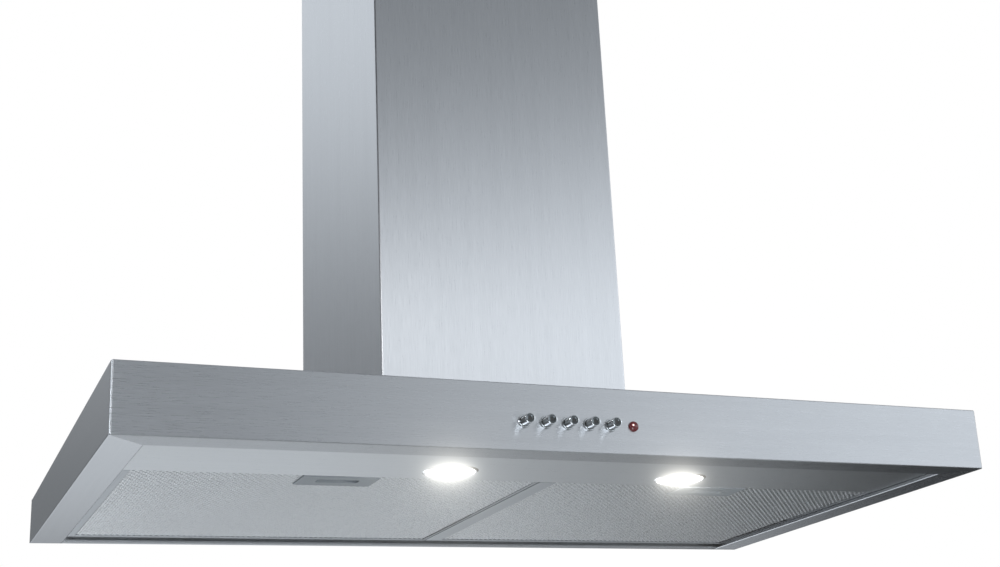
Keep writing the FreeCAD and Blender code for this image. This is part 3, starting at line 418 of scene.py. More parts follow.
def inner_mesh(name):
    """Layers of expanded aluminium behind the outer mesh, drawn as a diamond pattern with painted
    shade: far darker than bare aluminium, and darkest in the holes between the strands.
    """
    material, tree, shader = blank(name)
    place = put(tree, "ShaderNodeTexCoord").outputs["Object"]
    split = put(tree, "ShaderNodeSeparateXYZ", {"Vector": place})
    waves = []
    for letter, pitch in (("X", 9 * MM), ("Y", 5 * MM)):
        angle = maths(tree, "MULTIPLY", split.outputs[letter], 2 * math.pi / pitch)
        waves.append(maths(tree, "COSINE", angle))
    strand = maths(tree, "ABSOLUTE", maths(tree, "ADD", *waves))
    web = ramp(tree, strand, 1.0, 0.0, 0.1, 0.7)
    # Painted shade: both tones are far darker than aluminium, the darker one in the holes
    tree.links.new(between(tree, web, "#7d8184", "#a9acaf"), shader.inputs["Base Color"])
    tree.links.new(ramp(tree, web, 0.36, 0.28), shader.inputs["Roughness"])
    shader.inputs["Metallic"].default_value = 1.0
    raised(tree, shader, web, 0.6, 0.4 * MM)
    return material


def clear_red(name):
    """Signal lens of clear red plastic: deep colour, a gloss, a faint red glow of the lit lamp seen
    through it, and a painted highlight, a white emissive spot at its upper left.
    """
    highlight_core, highlight_edge = 0.5 * MM, 1.2 * MM
    material, tree, shader = blank(name)
    noise = grain_noise(tree, 1.2 * MM, 1.0)
    tree.links.new(between(tree, noise, "#3c030c", "#4c0611"), shader.inputs["Base Color"])
    # Painted highlight: an emissive spot above and left of the lens's middle, whitest at its core
    spot = middle("pilot_lens") + Vector((-1.4 * MM, 0.0, 0.9 * MM))
    place = put(tree, "ShaderNodeTexCoord").outputs["Object"]
    away = put(tree, "ShaderNodeVectorMath", {0: place, 1: tuple(spot)}, operation="SUBTRACT")
    flat = put(tree, "ShaderNodeVectorMath", {0: away.outputs[0], 1: (1.0, 0.0, 1.0)},
               operation="MULTIPLY")
    reach = put(tree, "ShaderNodeVectorMath", {0: flat.outputs[0]}, operation="LENGTH").outputs["Value"]
    glow = ramp(tree, reach, 2.5, 0.12, highlight_core, highlight_edge)
    tree.links.new(glow, shader.inputs["Emission Strength"])
    near = ramp(tree, reach, 0.0, 1.0, 0.7 * MM, highlight_edge)
    tree.links.new(between(tree, near, "#ffdcd8", "#961428"), shader.inputs["Emission Color"])
    shader.inputs["Roughness"].default_value = 0.08
    shader.inputs["IOR"].default_value = 1.49
    return material


def lit_glass(name, strength):
    """Frosted lamp glass with the bulb alight behind it."""
    material, tree, shader = blank(name)
    noise = grain_noise(tree, 0.8 * MM, 2.0)
    tree.links.new(between(tree, noise, "#f4f2ec", "#ffffff"), shader.inputs["Base Color"])
    shader.inputs["Roughness"].default_value = 0.45
    shader.inputs["IOR"].default_value = 1.5
    shader.inputs["Emission Color"].default_value = linear("#fffdf6")
    shader.inputs["Emission Strength"].default_value = strength
    raised(tree, shader, noise, 0.2, 0.05 * MM)
    return material


def clear_glass(name):
    """Quartz bulb of a halogen lamp: clear, with a gloss that is not quite even."""
    material, tree, shader = blank(name)
    noise = grain_noise(tree, 3 * MM, 1.0)
    tree.links.new(ramp(tree, noise, 0.02, 0.06), shader.inputs["Roughness"])
    shader.inputs["Base Color"].default_value = linear("#fbfaf5")
    shader.inputs["IOR"].default_value = 1.46
    shader.inputs["Transmission Weight"].default_value = 0.9
    return material


# Finishes, each with what it gives the eye

# Long level marks on the front, and reflections drawn out up and down
canopy_steel = brushed_stainless("brushed_stainless_canopy")
# The same sheet, smoother, with painted shade: a darker copy for the side faces, as they show in the
# photo
side_steel_painted_shade = brushed_stainless("brushed_stainless_side_shaded", "#b0b2b5", "#bdbfc2", 0.2)
# Upright marks on the chimney, and reflections that fade towards its top
cover_steel = brushed_stainless("brushed_stainless_cover", roughness=0.3)
# Painted light: a paler copy of the steel for the strip between the lamps, nearly even
strip_steel_painted_light = brushed_stainless("brushed_stainless_strip_lit", "#d8dadc", "#e0e2e4", 0.3)
# A soft bright line round each lamp
ring_steel = bare_metal("satin_nickel_ring", "#c2c4c6", "#cfd1d3", 0.22, 0.4)
# Hard black and white stripes along the buttons and collars
chrome = bare_metal("polished_chrome", "#c6c9cb", "#cdd0d2", 0.04, 2.0, 0.01)
# Painted shade: a darker copy of the chrome, lining the dish in each button's end
painted_shade_chrome = bare_metal("satin_chrome_painted_shade", "#5a5f62", "#64696c", 0.22, 0.5, 0.02)
# Dull grey rails that set the filters off from the steel
frame_aluminium = bare_metal("mill_aluminium_frame", "#a6a9ac", "#b4b7ba", 0.36, 0.7)
# Bright strands that glint one by one
mesh_aluminium = bare_metal("expanded_aluminium", "#f0f1f2", "#f7f8f8", 0.28, 0.6)
# Darker diamonds behind the outer mesh: painted shade, for depth
pad_aluminium_painted_shade = inner_mesh("expanded_aluminium_layers_shaded")
# A soft sheen on the drawn cups, the capacitor and the hinge lugs
spun_aluminium = bare_metal("pressed_aluminium", "#b9bcbf", "#cbced1", 0.3, 0.8)
# Patches of grey on the lid, the box and the brackets
galvanised = zinc_sheet("galvanised_sheet")
# Faintly yellow hardware
zinc_plate = bare_metal("zinc_plated_steel", "#b9b9ae", "#cfcfc6", 0.25, 0.5)
# A dark, dull motor
stator_steel = bare_metal("coated_motor_steel", "#3d4145", "#4b4f54", 0.45, 0.6, 0.2)
# Flat grey handles, with no metal glint
grey_plastic = moulded("grey_polyamide", "#7a8085", "#848a8f", 0.42)
# Black housings, and the black spot of painted shade in each button's dish
dark_plastic_and_shade = moulded("black_polypropylene_and_painted_shade", "#1c1d1f", "#26282a", 0.5)
# Off-white collar and flaps, seen from above
pale_plastic = moulded("pale_polypropylene", "#c9c9c4", "#d4d4cf", 0.5)
# A whiter, glossier case for the transformer
white_plastic = moulded("white_polycarbonate", "#d8d8d4", "#e4e4e0", 0.4)
# Creamy white lamp sockets
ceramic = moulded("white_steatite", "#dedad0", "#ebe8df", 0.35, 0.3)
# A deep red bead with one painted highlight, a pink-white emissive spot
red_lens = clear_red("clear_red_plastic")
# Glass that is lit all over, brighter than the picture's white
lamp_glass = lit_glass("frosted_lamp_glass", 9.0)
# A clear bulb that shows when the lamp's cover is off
bulb_glass = clear_glass("quartz_glass")

SIDES = (("left", -1), ("right", 1))
BUTTONS = range(1, 6)


# Canopy: three folded panels that meet in mitres at the rounded front corners

SECTION = 60.0 * MM


def folded_section():
    """Inset and height of the folded sheet's outline, for a nominal height."""
    top = SECTION
    points = [
        (0, 0), (rim_width, 0), (rim_width, LIP), (rim_width - SHEET, LIP), (rim_width - SHEET, SHEET),
        (SHEET, SHEET), (SHEET, top - SHEET), (TOP_FLANGE, top - SHEET), (TOP_FLANGE, top), (0, top),
    ]
    inner = BEND - SHEET
    return rounded(points, (BEND, BEND, EDGE, EDGE, inner, inner, inner, EDGE, EDGE, BEND))


def section_at(spot):
    """The folded section at one spot of the plan; its upper part follows the sloping top."""
    ring = []
    for inset, height in folded_section():
        x, y = spot(inset)
        rise = shell_top(y) - SECTION if height > SECTION / 2 else 0.0
        ring.append((x, y, height + rise))
    return ring


def corner_spot(side, angle):
    """Places round a front corner: an arc near the outer face, and the mitre past its radius."""
    def spot(inset):
        reach = max(CORNER - inset, 0.0)
        depth = max(inset, CORNER)
        x = half_width - depth + reach * math.cos(angle)
        return side * x, front_face + depth - reach * math.sin(angle)
    return spot


def make_front_panel():
    """The front with both rounded corners up to the mitres, and holes for buttons and pilot lens."""
    angles = [math.pi / 2 * i / CORNER_STEPS for i in range(CORNER_STEPS + 1)]
    rings = [section_at(corner_spot(-1, angle)) for angle in angles]
    rings += [section_at(corner_spot(1, angle)) for angle in reversed(angles)]
    insets = [inset for inset, _ in folded_section()]
    stations = []
    for ring in rings:
        side = math.copysign(1, ring[0][0])
        stations.append([x + side * (y - front_face - inset) for (x, y, _), inset in zip(ring, insets)])
    bm = bmesh.new()
    loft(bm, rings, stations)
    piece = mesh_piece("front_panel_sheet", bm, canopy_steel, "hood", "brushed_steel", "front_panel")
    tools = []
    for i in BUTTONS:
        centre = middle(f"push_button_{i}")
        tools.append(round_tool(centre.x, front_face, centre.z, BUTTON_BORE, HOLE_TOOL, (0, 1, 0)))
    pilot = middle("pilot_lens")
    tools.append(round_tool(pilot.x, front_face, pilot.z, PILOT_BORE, HOLE_TOOL, (0, 1, 0)))
    pierced(piece, tools)
    flat_faced(piece)


def make_side_panel(name, side):
    """Folded sheet that stops at the back plate's inner face; a plain tab closes it to the wall."""
    back = -SHEET
    rings = [section_at(corner_spot(side, 0.0))]
    rings.append(section_at(lambda inset: (side * (half_width - inset), back)))
    stations = [[y for _, y, _ in ring] for ring in rings]
    bm = bmesh.new()
    loft(bm, rings, stations)
    outer, inner = side * half_width, side * (half_width - SHEET)
    block(bm, (min(outer, inner), back, EDGE), (max(outer, inner), 0.0, rear_high.z - EDGE))
    piece = mesh_piece(f"side_panel_sheet_{name}", bm, side_steel_painted_shade, "hood", "brushed_steel",
                       f"side_panel_{name}")
    flat_faced(piece)


def make_rear_panel():
    """Plate against the wall with a narrow rim and lip below and a flange above."""
    inside, between_rims = rear_high.x, half_width - rim_width
    rim, lip = 10 * MM, 3 * MM
    top = rear_high.z - EDGE
    outline = rounded(
        [(0, 0), (-rim, 0), (-rim, lip), (SHEET - rim, lip), (SHEET - rim, SHEET), (-SHEET, SHEET),
         (-SHEET, top), (0, top)],
        (BEND, BEND, EDGE, EDGE, BEND - SHEET, BEND - SHEET, EDGE, EDGE))
    bm = bmesh.new()
    loft(bm, [[(x, y, z) for y, z in outline] for x in (-between_rims, between_rims)],
         (-between_rims, between_rims))
    for start, end in ((-inside, -between_rims), (between_rims, inside)):
        block(bm, (start, -SHEET, EDGE), (end, 0.0, top))
    flange = half_width - TOP_FLANGE
    strip = [(rear_low.y, shell_top(rear_low.y) - SHEET), (-SHEET, shell_top(-SHEET) - SHEET),
             (-SHEET, shell_top(-SHEET)), (rear_low.y, shell_top(rear_low.y))]
    loft(bm, [[(x, y, z) for y, z in strip] for x in (-flange, flange)], (-flange, flange))
    piece = mesh_piece("rear_panel_sheet", bm, canopy_steel, "hood", "brushed_steel", "rear_panel")
    tools = []
    for _, side in SIDES:
        tools.append(round_tool(side * WALL_HOLE_REACH, 0.0, WALL_HOLE_HEIGHT, WALL_BORE, HOLE_TOOL,
                                (0, 1, 0)))
    pierced(piece, tools, overlapping=True)
    flat_faced(piece)


# Lamp panel: a tray behind the front rim

def make_lamp_panel():
    """A strip folded up at its front and closed at both ends, with two lamp holes."""
    front, back = panel_low.y, panel_high.y
    low, high = panel_low.z, panel_high.z
    left, right = panel_low.x, panel_high.x
    outline = rounded(
        [(front, low), (back, low), (back, low + SHEET), (front + SHEET, low + SHEET),
         (front + SHEET, high), (front, high)],
        (BEND, EDGE, EDGE, BEND - SHEET, EDGE, EDGE))
    bm = bmesh.new()
    loft(bm, [[(x, y, z) for y, z in outline] for x in (left, right)], (left, right))
    for edge in (left, right - SHEET):
        block(bm, (edge, front + SHEET, low + SHEET), (edge + SHEET, back, high))
    piece = mesh_piece("lamp_panel_sheet", bm, strip_steel_painted_light, "hood", "brushed_steel", "lamp_panel")
    tools = []
    for name, _ in SIDES:
        centre = middle(f"lamp_ring_{name}")
        tools.append(round_tool(centre.x, centre.y, low, LAMP_BORE, HOLE_TOOL, (0, 0, 1), 96))
    pierced(piece, tools)
    flat_faced(piece)


# Lamps

def make_lamp(name):
    """The turned ring with its pull-off notch, and the slightly domed glass inside it."""
    ring_low, ring_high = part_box(f"lamp_ring_{name}")
    x, y, _ = middle(f"lamp_ring_{name}")
    panel = panel_low.z
    outer = (ring_high.y - ring_low.y) / 2
    neck_outer, neck_inner, aperture = 26 * MM, 25 * MM, 24 * MM
    slant = 1.6 * MM
    lens_low, lens_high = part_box(f"lamp_lens_{name}")
    outline = rounded(
        [(aperture, ring_low.z), (outer - slant, ring_low.z), (outer, panel - 2 * EDGE),
         (outer, panel), (neck_outer, panel), (neck_outer, ring_high.z), (neck_inner, ring_high.z),
         (neck_inner, lens_low.z), (aperture, lens_low.z)],
        (0.3 * MM, 0.6 * MM, EDGE, EDGE, EDGE, EDGE, EDGE, EDGE, 0.25 * MM), 4)
    bm = bmesh.new()
    spun(bm, outline, (x, y, 0), (0, 0, 1), 96)
    ring = mesh_piece(f"lamp_ring_turned_{name}", bm, ring_steel, f"lamp_cover_{name}", "ring_steel",
                      f"lamp_ring_{name}")
    notch, notch_depth = 2.5 * MM, 1.8 * MM
    pierced(ring, [box_tool((x + outer - notch_depth, y - notch, ring_low.z - notch),
                            (x + outer + notch, y + notch, panel - EDGE))])
    smooth_by_angle(ring)

    radius = (lens_high.x - lens_low.x) / 2
    sag, bevel = 0.5 * MM, 0.4 * MM
    face = [(radius * t, lens_low.z + sag * t * t) for t in (0.0, 0.25, 0.5, 0.7, 0.85, 0.95)]
    edge = [(radius, lens_low.z + sag + bevel), (radius, lens_high.z - bevel),
            (radius - bevel, lens_high.z), (0.0, lens_high.z)]
    bm = bmesh.new()
    spun(bm, face + edge, (x, y, 0), (0, 0, 1), 72)
    lens = mesh_piece(f"lamp_glass_{name}", bm, lamp_glass, f"lamp_cover_{name}", "lens_glass",
                      f"lamp_lens_{name}")
    smooth_by_angle(lens)


# Push buttons, collars and pilot lens

def make_buttons():
    """Turned caps on thin stems; each end has a dish lined with painted shade, a ring of darker chrome
    round a black spot.
    """
    radius, stem, stem_length = 4.8 * MM, 2.8 * MM, 10 * MM
    dish, depth, pit = 4.2 * MM, 1.2 * MM, 2.2 * MM
    for i in BUTTONS:
        low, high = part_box(f"push_button_{i}")
        x, _, z = middle(f"push_button_{i}")
        length = high.y - stem_length - low.y
        outline = [(0.0, depth), (dish * 0.55, depth), (dish * 0.8, depth * 0.8)]
        outline += [(dish * 0.94, depth * 0.35), (dish, 0.0)]
        outline += [(radius - 0.35 * MM, 0.0), (radius - 0.1 * MM, 0.12 * MM)]
        outline += [(radius, 0.5 * MM), (radius, length - 0.3 * MM), (radius - 0.3 * MM, length)]
        outline += [(stem, length), (stem, high.y - low.y), (0.0, high.y - low.y)]
        bm = bmesh.new()
        spun(bm, outline, (x, low.y, z), (0, 1, 0), 48)
        cap = mesh_piece(f"button_cap_{i}", bm, chrome, f"button_{i}", "button_chrome",
                         f"push_button_{i}")
        smooth_by_angle(cap, 28)
        # Painted shade: a ring of darker chrome lining the dish
        face = [(pit, 0.9 * MM), (pit, 0.5 * MM), (pit + 0.3 * MM, 0.35 * MM)]
        face += [(dish - 0.1 * MM, 0.1 * MM), (dish - 0.1 * MM, 0.5 * MM), (dish * 0.6, 0.9 * MM)]
        bm = bmesh.new()
        spun(bm, face, (x, low.y, z), (0, 1, 0), 40)
        shade_ring = mesh_piece(f"button_inlay_{i}", bm, painted_shade_chrome, f"button_{i}", "button_chrome")
        smooth_by_angle(shade_ring, 28)
        # Painted shade: a black spot in the middle of the dish
        shade_spot_radius, shade_spot_front, shade_spot_back = pit + 0.2 * MM, 0.8 * MM, depth + 0.1 * MM
        disc = [(0.0, shade_spot_front), (shade_spot_radius, shade_spot_front), (shade_spot_radius, shade_spot_back), (0.0, shade_spot_back)]
        bm = bmesh.new()
        spun(bm, disc, (x, low.y, z), (0, 1, 0), 32)
        mesh_piece(f"button_eye_{i}", bm, dark_plastic_and_shade, f"button_{i}", "button_chrome")


def make_collars():
    """Five turned rings in one piece, each with a rounded face round its button."""
    low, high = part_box("button_collars")
    bore, outer = BUTTON_BORE, 6.3 * MM
    reach = high.y - low.y
    bm = bmesh.new()
    for i in BUTTONS:
        x, _, z = middle(f"push_button_{i}")
        outline = [(bore, 0.3 * MM), (bore + 0.3 * MM, 0.0), (bore + 0.6 * MM, 0.0)]
        outline += [(outer - 0.2 * MM, 0.5 * MM), (outer, 1.1 * MM), (outer, reach), (bore, reach)]
        spun(bm, outline, (x, low.y, z), (0, 1, 0), 48)
    collars = mesh_piece("button_collar_rings", bm, chrome, "hood", "button_chrome", "button_collars")
    smooth_by_angle(collars, 28)


def make_pilot_lens():
    """A quarter-circle dome on a short rim, with a neck through the panel."""
    low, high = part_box("pilot_lens")
    x, _, z = middle("pilot_lens")
    radius, neck, rim = 5.0 * MM, 4.0 * MM, 1.0 * MM
    dome = front_face - rim - low.y
    angles = [math.pi / 20 * i for i in range(11)]
    outline = [(radius * math.sin(angle), dome * (1 - math.cos(angle))) for angle in angles]
    outline += [(radius, dome + rim), (neck, dome + rim), (neck, high.y - low.y), (0.0, high.y - low.y)]
    bm = bmesh.new()
    spun(bm, outline, (x, low.y, z), (0, 1, 0), 48)
    lens = mesh_piece("pilot_lens_dome", bm, red_lens, "hood", "pilot_red", "pilot_lens")
    smooth_by_angle(lens)


# Chimney covers

COVER_RETURN = 10.0 * MM
COVER_SEAT = 0.3 * MM
VENT_COUNT = 8
VENT_LENGTH = 120.0 * MM
VENT_HEIGHT = 4.0 * MM
VENT_PITCH = 10.0 * MM
VENT_DROP = 60.0 * MM


def cover_outline(low, high):
    """Plan of a folded cover: a front, two sides and a return along each back edge."""
    back_turn = high.x - COVER_RETURN
    left, right = low.x + SHEET, high.x - SHEET
    front, back = low.y + SHEET, high.y - SHEET
    points = [
        (low.x, low.y), (high.x, low.y), (high.x, high.y), (back_turn, high.y), (back_turn, back),
        (right, back), (right, front), (left, front), (left, back),
        (-back_turn, back), (-back_turn, high.y), (low.x, high.y),
    ]
    inner = CORNER - SHEET
    return rounded(points, (CORNER, CORNER, BEND, EDGE, EDGE, BEND - SHEET, inner, inner, BEND - SHEET,
                            EDGE, EDGE, BEND))


def make_lower_cover():
    """Its lower end follows the canopy's slope, a hair above it."""
    outline = cover_outline(cover_low, cover_high)
    bottom = [(x, y, shell_top(y) + COVER_SEAT) for x, y in outline]
    top = [(x, y, cover_high.z) for x, y in outline]
    bm = bmesh.new()
    loft(bm, [bottom, top], (rear_high.z, cover_high.z))
    piece = mesh_piece("chimney_lower_sheet", bm, cover_steel, "hood", "chimney_steel", "chimney_lower")
    flat_faced(piece)


def make_upper_cover():
    """A straight cover with a stack of vent slots through both sides, near its top."""
    outline = cover_outline(upper_low, upper_high)
    rings = [[(x, y, z) for x, y in outline] for z in (upper_low.z, upper_high.z)]
    bm = bmesh.new()
    loft(bm, rings, (upper_low.z, upper_high.z))
    piece = mesh_piece("chimney_upper_sheet", bm, cover_steel, "upper_cover", "chimney_steel",
                       "chimney_upper")
    centre = (upper_low.y + upper_high.y) / 2
    front, back = centre - VENT_LENGTH / 2, centre + VENT_LENGTH / 2
    left, right = upper_low.x - VENT_HEIGHT, upper_high.x + VENT_HEIGHT
    tools = []
    for i in range(VENT_COUNT):
        z = upper_high.z - VENT_DROP - VENT_PITCH * i
        tools.append(box_tool((left, front, z - VENT_HEIGHT / 2), (right, back, z + VENT_HEIGHT / 2)))
    pierced(piece, tools)
    flat_faced(piece)


# Grease filters. The expanded mesh has its bonds' long side from front to back, as the pattern in
# the photo has, and each strand leans a little, so that it catches the light on its own

MESH_PITCH_X = 6.1 * MM
MESH_PITCH_Y = 7.5 * MM
STRAND_WIDTH = 1.25 * MM
STRAND_HEIGHT = 0.4 * MM
STRAND_TILT = math.radians(9)
BOND_WIDTH = 1.5 * MM
BOND_SHARE = 0.42


def strand_pair(pitch_x, pitch_y):
    """One bond of the expanded mesh and the two strands that leave it, each a tilted flat bar."""
    bm = bmesh.new()
    bond = Vector((BOND_WIDTH, pitch_y * BOND_SHARE, STRAND_HEIGHT)) / 2
    block(bm, tuple(-bond), tuple(bond))
    for sign in (1, -1):
        run = Vector((pitch_x / 2, sign * pitch_y / 2, 0))
        across = Vector((0, 0, 1)).cross(run).normalized()
        turn = Matrix.Rotation(sign * STRAND_TILT, 3, run)
        wide = turn @ across * STRAND_WIDTH / 2
        thick = turn @ Vector((0, 0, 1)) * STRAND_HEIGHT / 2
        bar = (-wide - thick, wide - thick, wide + thick, thick - wide)
        rings = []
        for end in (Vector(), run):
            rings.append([bm.verts.new(end + corner) for corner in bar])
        for i in range(4):
            j = (i + 1) % 4
            bm.faces.new((rings[0][i], rings[0][j], rings[1][j], rings[1][i]))
    bmesh.ops.recalc_face_normals(bm, faces=bm.faces)
    mesh = bpy.data.meshes.new("strand_pair")
    bm.to_mesh(mesh)
    bm.free()
    unit = bpy.data.objects.new("strand_pair", mesh)
    bpy.context.scene.collection.objects.link(unit)
    return unit


def compared(tree, operation, first, second):
    """Adds a node that compares two numbers."""
    return put(tree, "FunctionNodeCompare", {"A": first, "B": second}, operation=operation,
               data_type="FLOAT").outputs[0]


def both_true(tree, first, second):
    """Adds a node that is true where both inputs are."""
    return put(tree, "FunctionNodeBooleanMath", {0: first, 1: second}, operation="AND").outputs[0]


def mesh_tree():
    """Geometry nodes that set a strand pair at every bond and leave the handle's place free."""
    tree = bpy.data.node_groups.new("expanded_mesh", "GeometryNodeTree")
    kinds = {"Strand pair": "NodeSocketObject", "Finish": "NodeSocketMaterial",
             "Columns": "NodeSocketInt", "Rows": "NodeSocketInt"}
    for label in ("Strand pair", "Finish", "Low X", "Low Y", "Columns", "Rows", "Pitch X", "Pitch Y",
                  "Level", "Free Low X", "Free High X", "Free High Y"):
        kind = kinds.get(label, "NodeSocketFloat")
        tree.interface.new_socket(name=label, in_out="INPUT", socket_type=kind)
    tree.interface.new_socket(name="Geometry", in_out="OUTPUT", socket_type="NodeSocketGeometry")
    given = put(tree, "NodeGroupInput").outputs

    # Every second row is shifted by half a pitch
    total = maths(tree, "MULTIPLY", given["Columns"], given["Rows"])
    points = put(tree, "GeometryNodePoints", {"Count": total})
    index = put(tree, "GeometryNodeInputIndex").outputs[0]
    column = maths(tree, "FLOORED_MODULO", index, given["Columns"])
    row = maths(tree, "FLOOR", maths(tree, "DIVIDE", index, given["Columns"]))
    shift = maths(tree, "MULTIPLY", maths(tree, "FLOORED_MODULO", row, 2.0), 0.5)
    x = maths(tree, "MULTIPLY_ADD", maths(tree, "ADD", column, shift), given["Pitch X"], given["Low X"])
    half_pitch = maths(tree, "MULTIPLY", given["Pitch Y"], 0.5)
    y = maths(tree, "MULTIPLY_ADD", row, half_pitch, given["Low Y"])
    place = put(tree, "ShaderNodeCombineXYZ", {"X": x, "Y": y, "Z": given["Level"]}).outputs[0]
    moved = put(tree, "GeometryNodeSetPosition", {"Geometry": points.outputs[0], "Position": place})

    # The handle's place
    across = both_true(tree, compared(tree, "GREATER_THAN", x, given["Free Low X"]),
                       compared(tree, "LESS_THAN", x, given["Free High X"]))
    free = both_true(tree, across, compared(tree, "LESS_THAN", y, given["Free High Y"]))
    kept = put(tree, "GeometryNodeDeleteGeometry", {"Geometry": moved.outputs[0], "Selection": free})

    unit = put(tree, "GeometryNodeObjectInfo", {"Object": given["Strand pair"]})
    spread = put(tree, "GeometryNodeInstanceOnPoints", {
        "Points": kept.outputs[0], "Instance": unit.outputs["Geometry"],
    })
    real = put(tree, "GeometryNodeRealizeInstances", {"Geometry": spread.outputs[0]})
    done = put(tree, "GeometryNodeSetMaterial", {
        "Geometry": real.outputs[0], "Material": given["Finish"],
    })
    put(tree, "NodeGroupOutput", {"Geometry": done.outputs[0]})
    return tree


def make_mesh(name, tree):
    """The outer mesh of one filter, with pitches that divide its sheet evenly."""
    low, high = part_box(f"filter_mesh_{name}")
    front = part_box(f"filter_frame_{name}")[0].y
    handle_low, handle_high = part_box(f"filter_handle_{name}")
    columns = round((high.x - low.x) / MESH_PITCH_X)
    rows = round((high.y - front) / MESH_PITCH_Y * 2) - 1
    pitch_x = (high.x - low.x - BOND_WIDTH) / columns
    pitch_y = (high.y - front) / (rows + 1) * 2
    unit = strand_pair(pitch_x, pitch_y)
    values = {
        "Strand pair": unit, "Finish": mesh_aluminium,
        "Low X": low.x + BOND_WIDTH / 2, "Low Y": front + pitch_y / 2,
        "Columns": columns, "Rows": rows, "Pitch X": pitch_x, "Pitch Y": pitch_y,
        "Level": (low.z + high.z) / 2, "Free Low X": handle_low.x,
        "Free High X": handle_high.x - pitch_x / 2, "Free High Y": handle_high.y - pitch_y / 2,
    }
    piece = bpy.data.objects.new(f"filter_mesh_expanded_{name}", bpy.data.meshes.new("expanded"))
    bpy.context.scene.collection.objects.link(piece)
    modifier = piece.modifiers.new("expanded", "NODES")
    modifier.node_group = tree
    for item in tree.interface.items_tree:
        if item.in_out == "INPUT":
            modifier[item.identifier] = values[item.name]
    bpy.context.view_layer.update()
    evaluated(piece)
    bpy.data.objects.remove(unit)
    settle(piece, f"filter_{name}", "filter_mesh", f"filter_mesh_{name}")


def make_filter_frame(name):
    """Channel frame: two side rails and a back rail, with a front rail above the mesh."""
    low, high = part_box(f"filter_frame_{name}")
    mesh_low, mesh_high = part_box(f"filter_mesh_{name}")
    handle_low, handle_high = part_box(f"filter_handle_{name}")
    play, rise = 0.2 * MM, 0.5 * MM
    left, right = mesh_low.x - play, mesh_high.x + play
    back = mesh_high.y + play
    front = mesh_low.y - play
    raised_low = mesh_high.z + rise
    bm = bmesh.new()
    block(bm, (low.x, low.y, low.z), (left, high.y, high.z))
    block(bm, (right, low.y, low.z), (high.x, high.y, high.z))
    block(bm, (left, back, low.z), (right, high.y, high.z))
    for start, end in ((left, handle_low.x - play), (handle_high.x + play, right)):
        block(bm, (start, low.y, raised_low), (end, front, high.z))
    piece = mesh_piece(f"filter_frame_channel_{name}", bm, frame_aluminium, f"filter_{name}",
                       "filter_aluminium", f"filter_frame_{name}")
    bevelled(piece, 0.5 * MM)


def make_handle(name):
    """A moulded plate with a rounded finger slot, and a channel above it for the latch."""
    low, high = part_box(f"filter_handle_{name}")
    latch_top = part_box(f"filter_latch_{name}")[1].z
    x = middle(f"filter_handle_{name}").x
    bm = bmesh.new()
    block(bm, tuple(low), tuple(high))
    piece = mesh_piece(f"filter_handle_moulded_{name}", bm, grey_plastic, f"filter_{name}",
                       "handle_plastic", f"filter_handle_{name}")
    bevelled(piece, 0.9 * MM, 3)
    slot_half, slot_front, slot_back, slot_radius = 21 * MM, 12 * MM, 26 * MM, 2 * MM
    play, overrun = 0.3 * MM, 1.0 * MM
    latch_half, latch_height = 10 * MM, 2 * MM
    front, back = low.y + slot_front, low.y + slot_back
    finger = rounded(
        [(x - slot_half, front), (x + slot_half, front), (x + slot_half, back), (x - slot_half, back)],
        (slot_radius,) * 4)
    bm = bmesh.new()
    loft(bm, [[(u, v, z) for u, v in finger] for z in (low.z - overrun, latch_top + play)], (0, 1))
    slot = tool_from(bm)
    half = latch_half + play
    channel = box_tool((x - half, low.y - overrun, latch_top - latch_height - play),
                       (x + half, front + overrun, latch_top + play))
    pierced(piece, [slot, channel])


# Materials of the solids that stay

CARRIED = {
    galvanised: ("top_lid", "rear_rail", "blower_box", "cover_brackets", "ceiling_bracket",
                 "motor_bracket"),
    zinc_plate: ("blower_screws", "flap_pins", "motor_shaft", "pilot_nut"),
    spun_aluminium: ("lamp_housing_left", "lamp_housing_right", "capacitor", "filter_lugs_left",
                     "filter_lugs_right"),
    pad_aluminium_painted_shade: ("filter_pad_left", "filter_pad_right", "filter_back_left", "filter_back_right"),
    grey_plastic: ("filter_latch_left", "filter_latch_right"),
    dark_plastic_and_shade: ("switch_block", "scroll_housing", "junction_box", "cable_gland", "impeller"),
    pale_plastic: ("outlet_collar", "flap_left", "flap_right"),
    white_plastic: ("lamp_transformer",),
    ceramic: ("lamp_socket_left", "lamp_socket_right"),
    bulb_glass: ("lamp_bulb_left", "lamp_bulb_right"),
    stator_steel: ("motor_stator",),
}


def dress_solids():
    """Gives each solid that no piece stands for its finish."""
    for finish, names in CARRIED.items():
        for name in names:
            mesh = nodes[name].data
            mesh.materials.clear()
            mesh.materials.append(finish)


# Stage: a pale floor, soft light all round and a white background

def make_floor():
    """A floor far below, as the hood hangs free: it lights the underside and stays out of view."""
    size, depth, cloud_size = 3.0, 1.5, 1 / 3
    bm = bmesh.new()
    bmesh.ops.create_grid(bm, x_segments=1, y_segments=1, size=size / 2,
                          matrix=Matrix.Translation((0, -0.25, -depth)))
    mesh = bpy.data.meshes.new("floor")
    bm.to_mesh(mesh)
    bm.free()
    floor = bpy.data.objects.new("floor", mesh)
    bpy.context.scene.collection.objects.link(floor)
    paint, tree, shader = blank("pale_floor")
    noise = grain_noise(tree, cloud_size, 2.0)
    tree.links.new(between(tree, noise, "#e6e6e4", "#ecece9"), shader.inputs["Base Color"])
    shader.inputs["Roughness"].default_value = 0.8
    mesh.materials.append(paint)


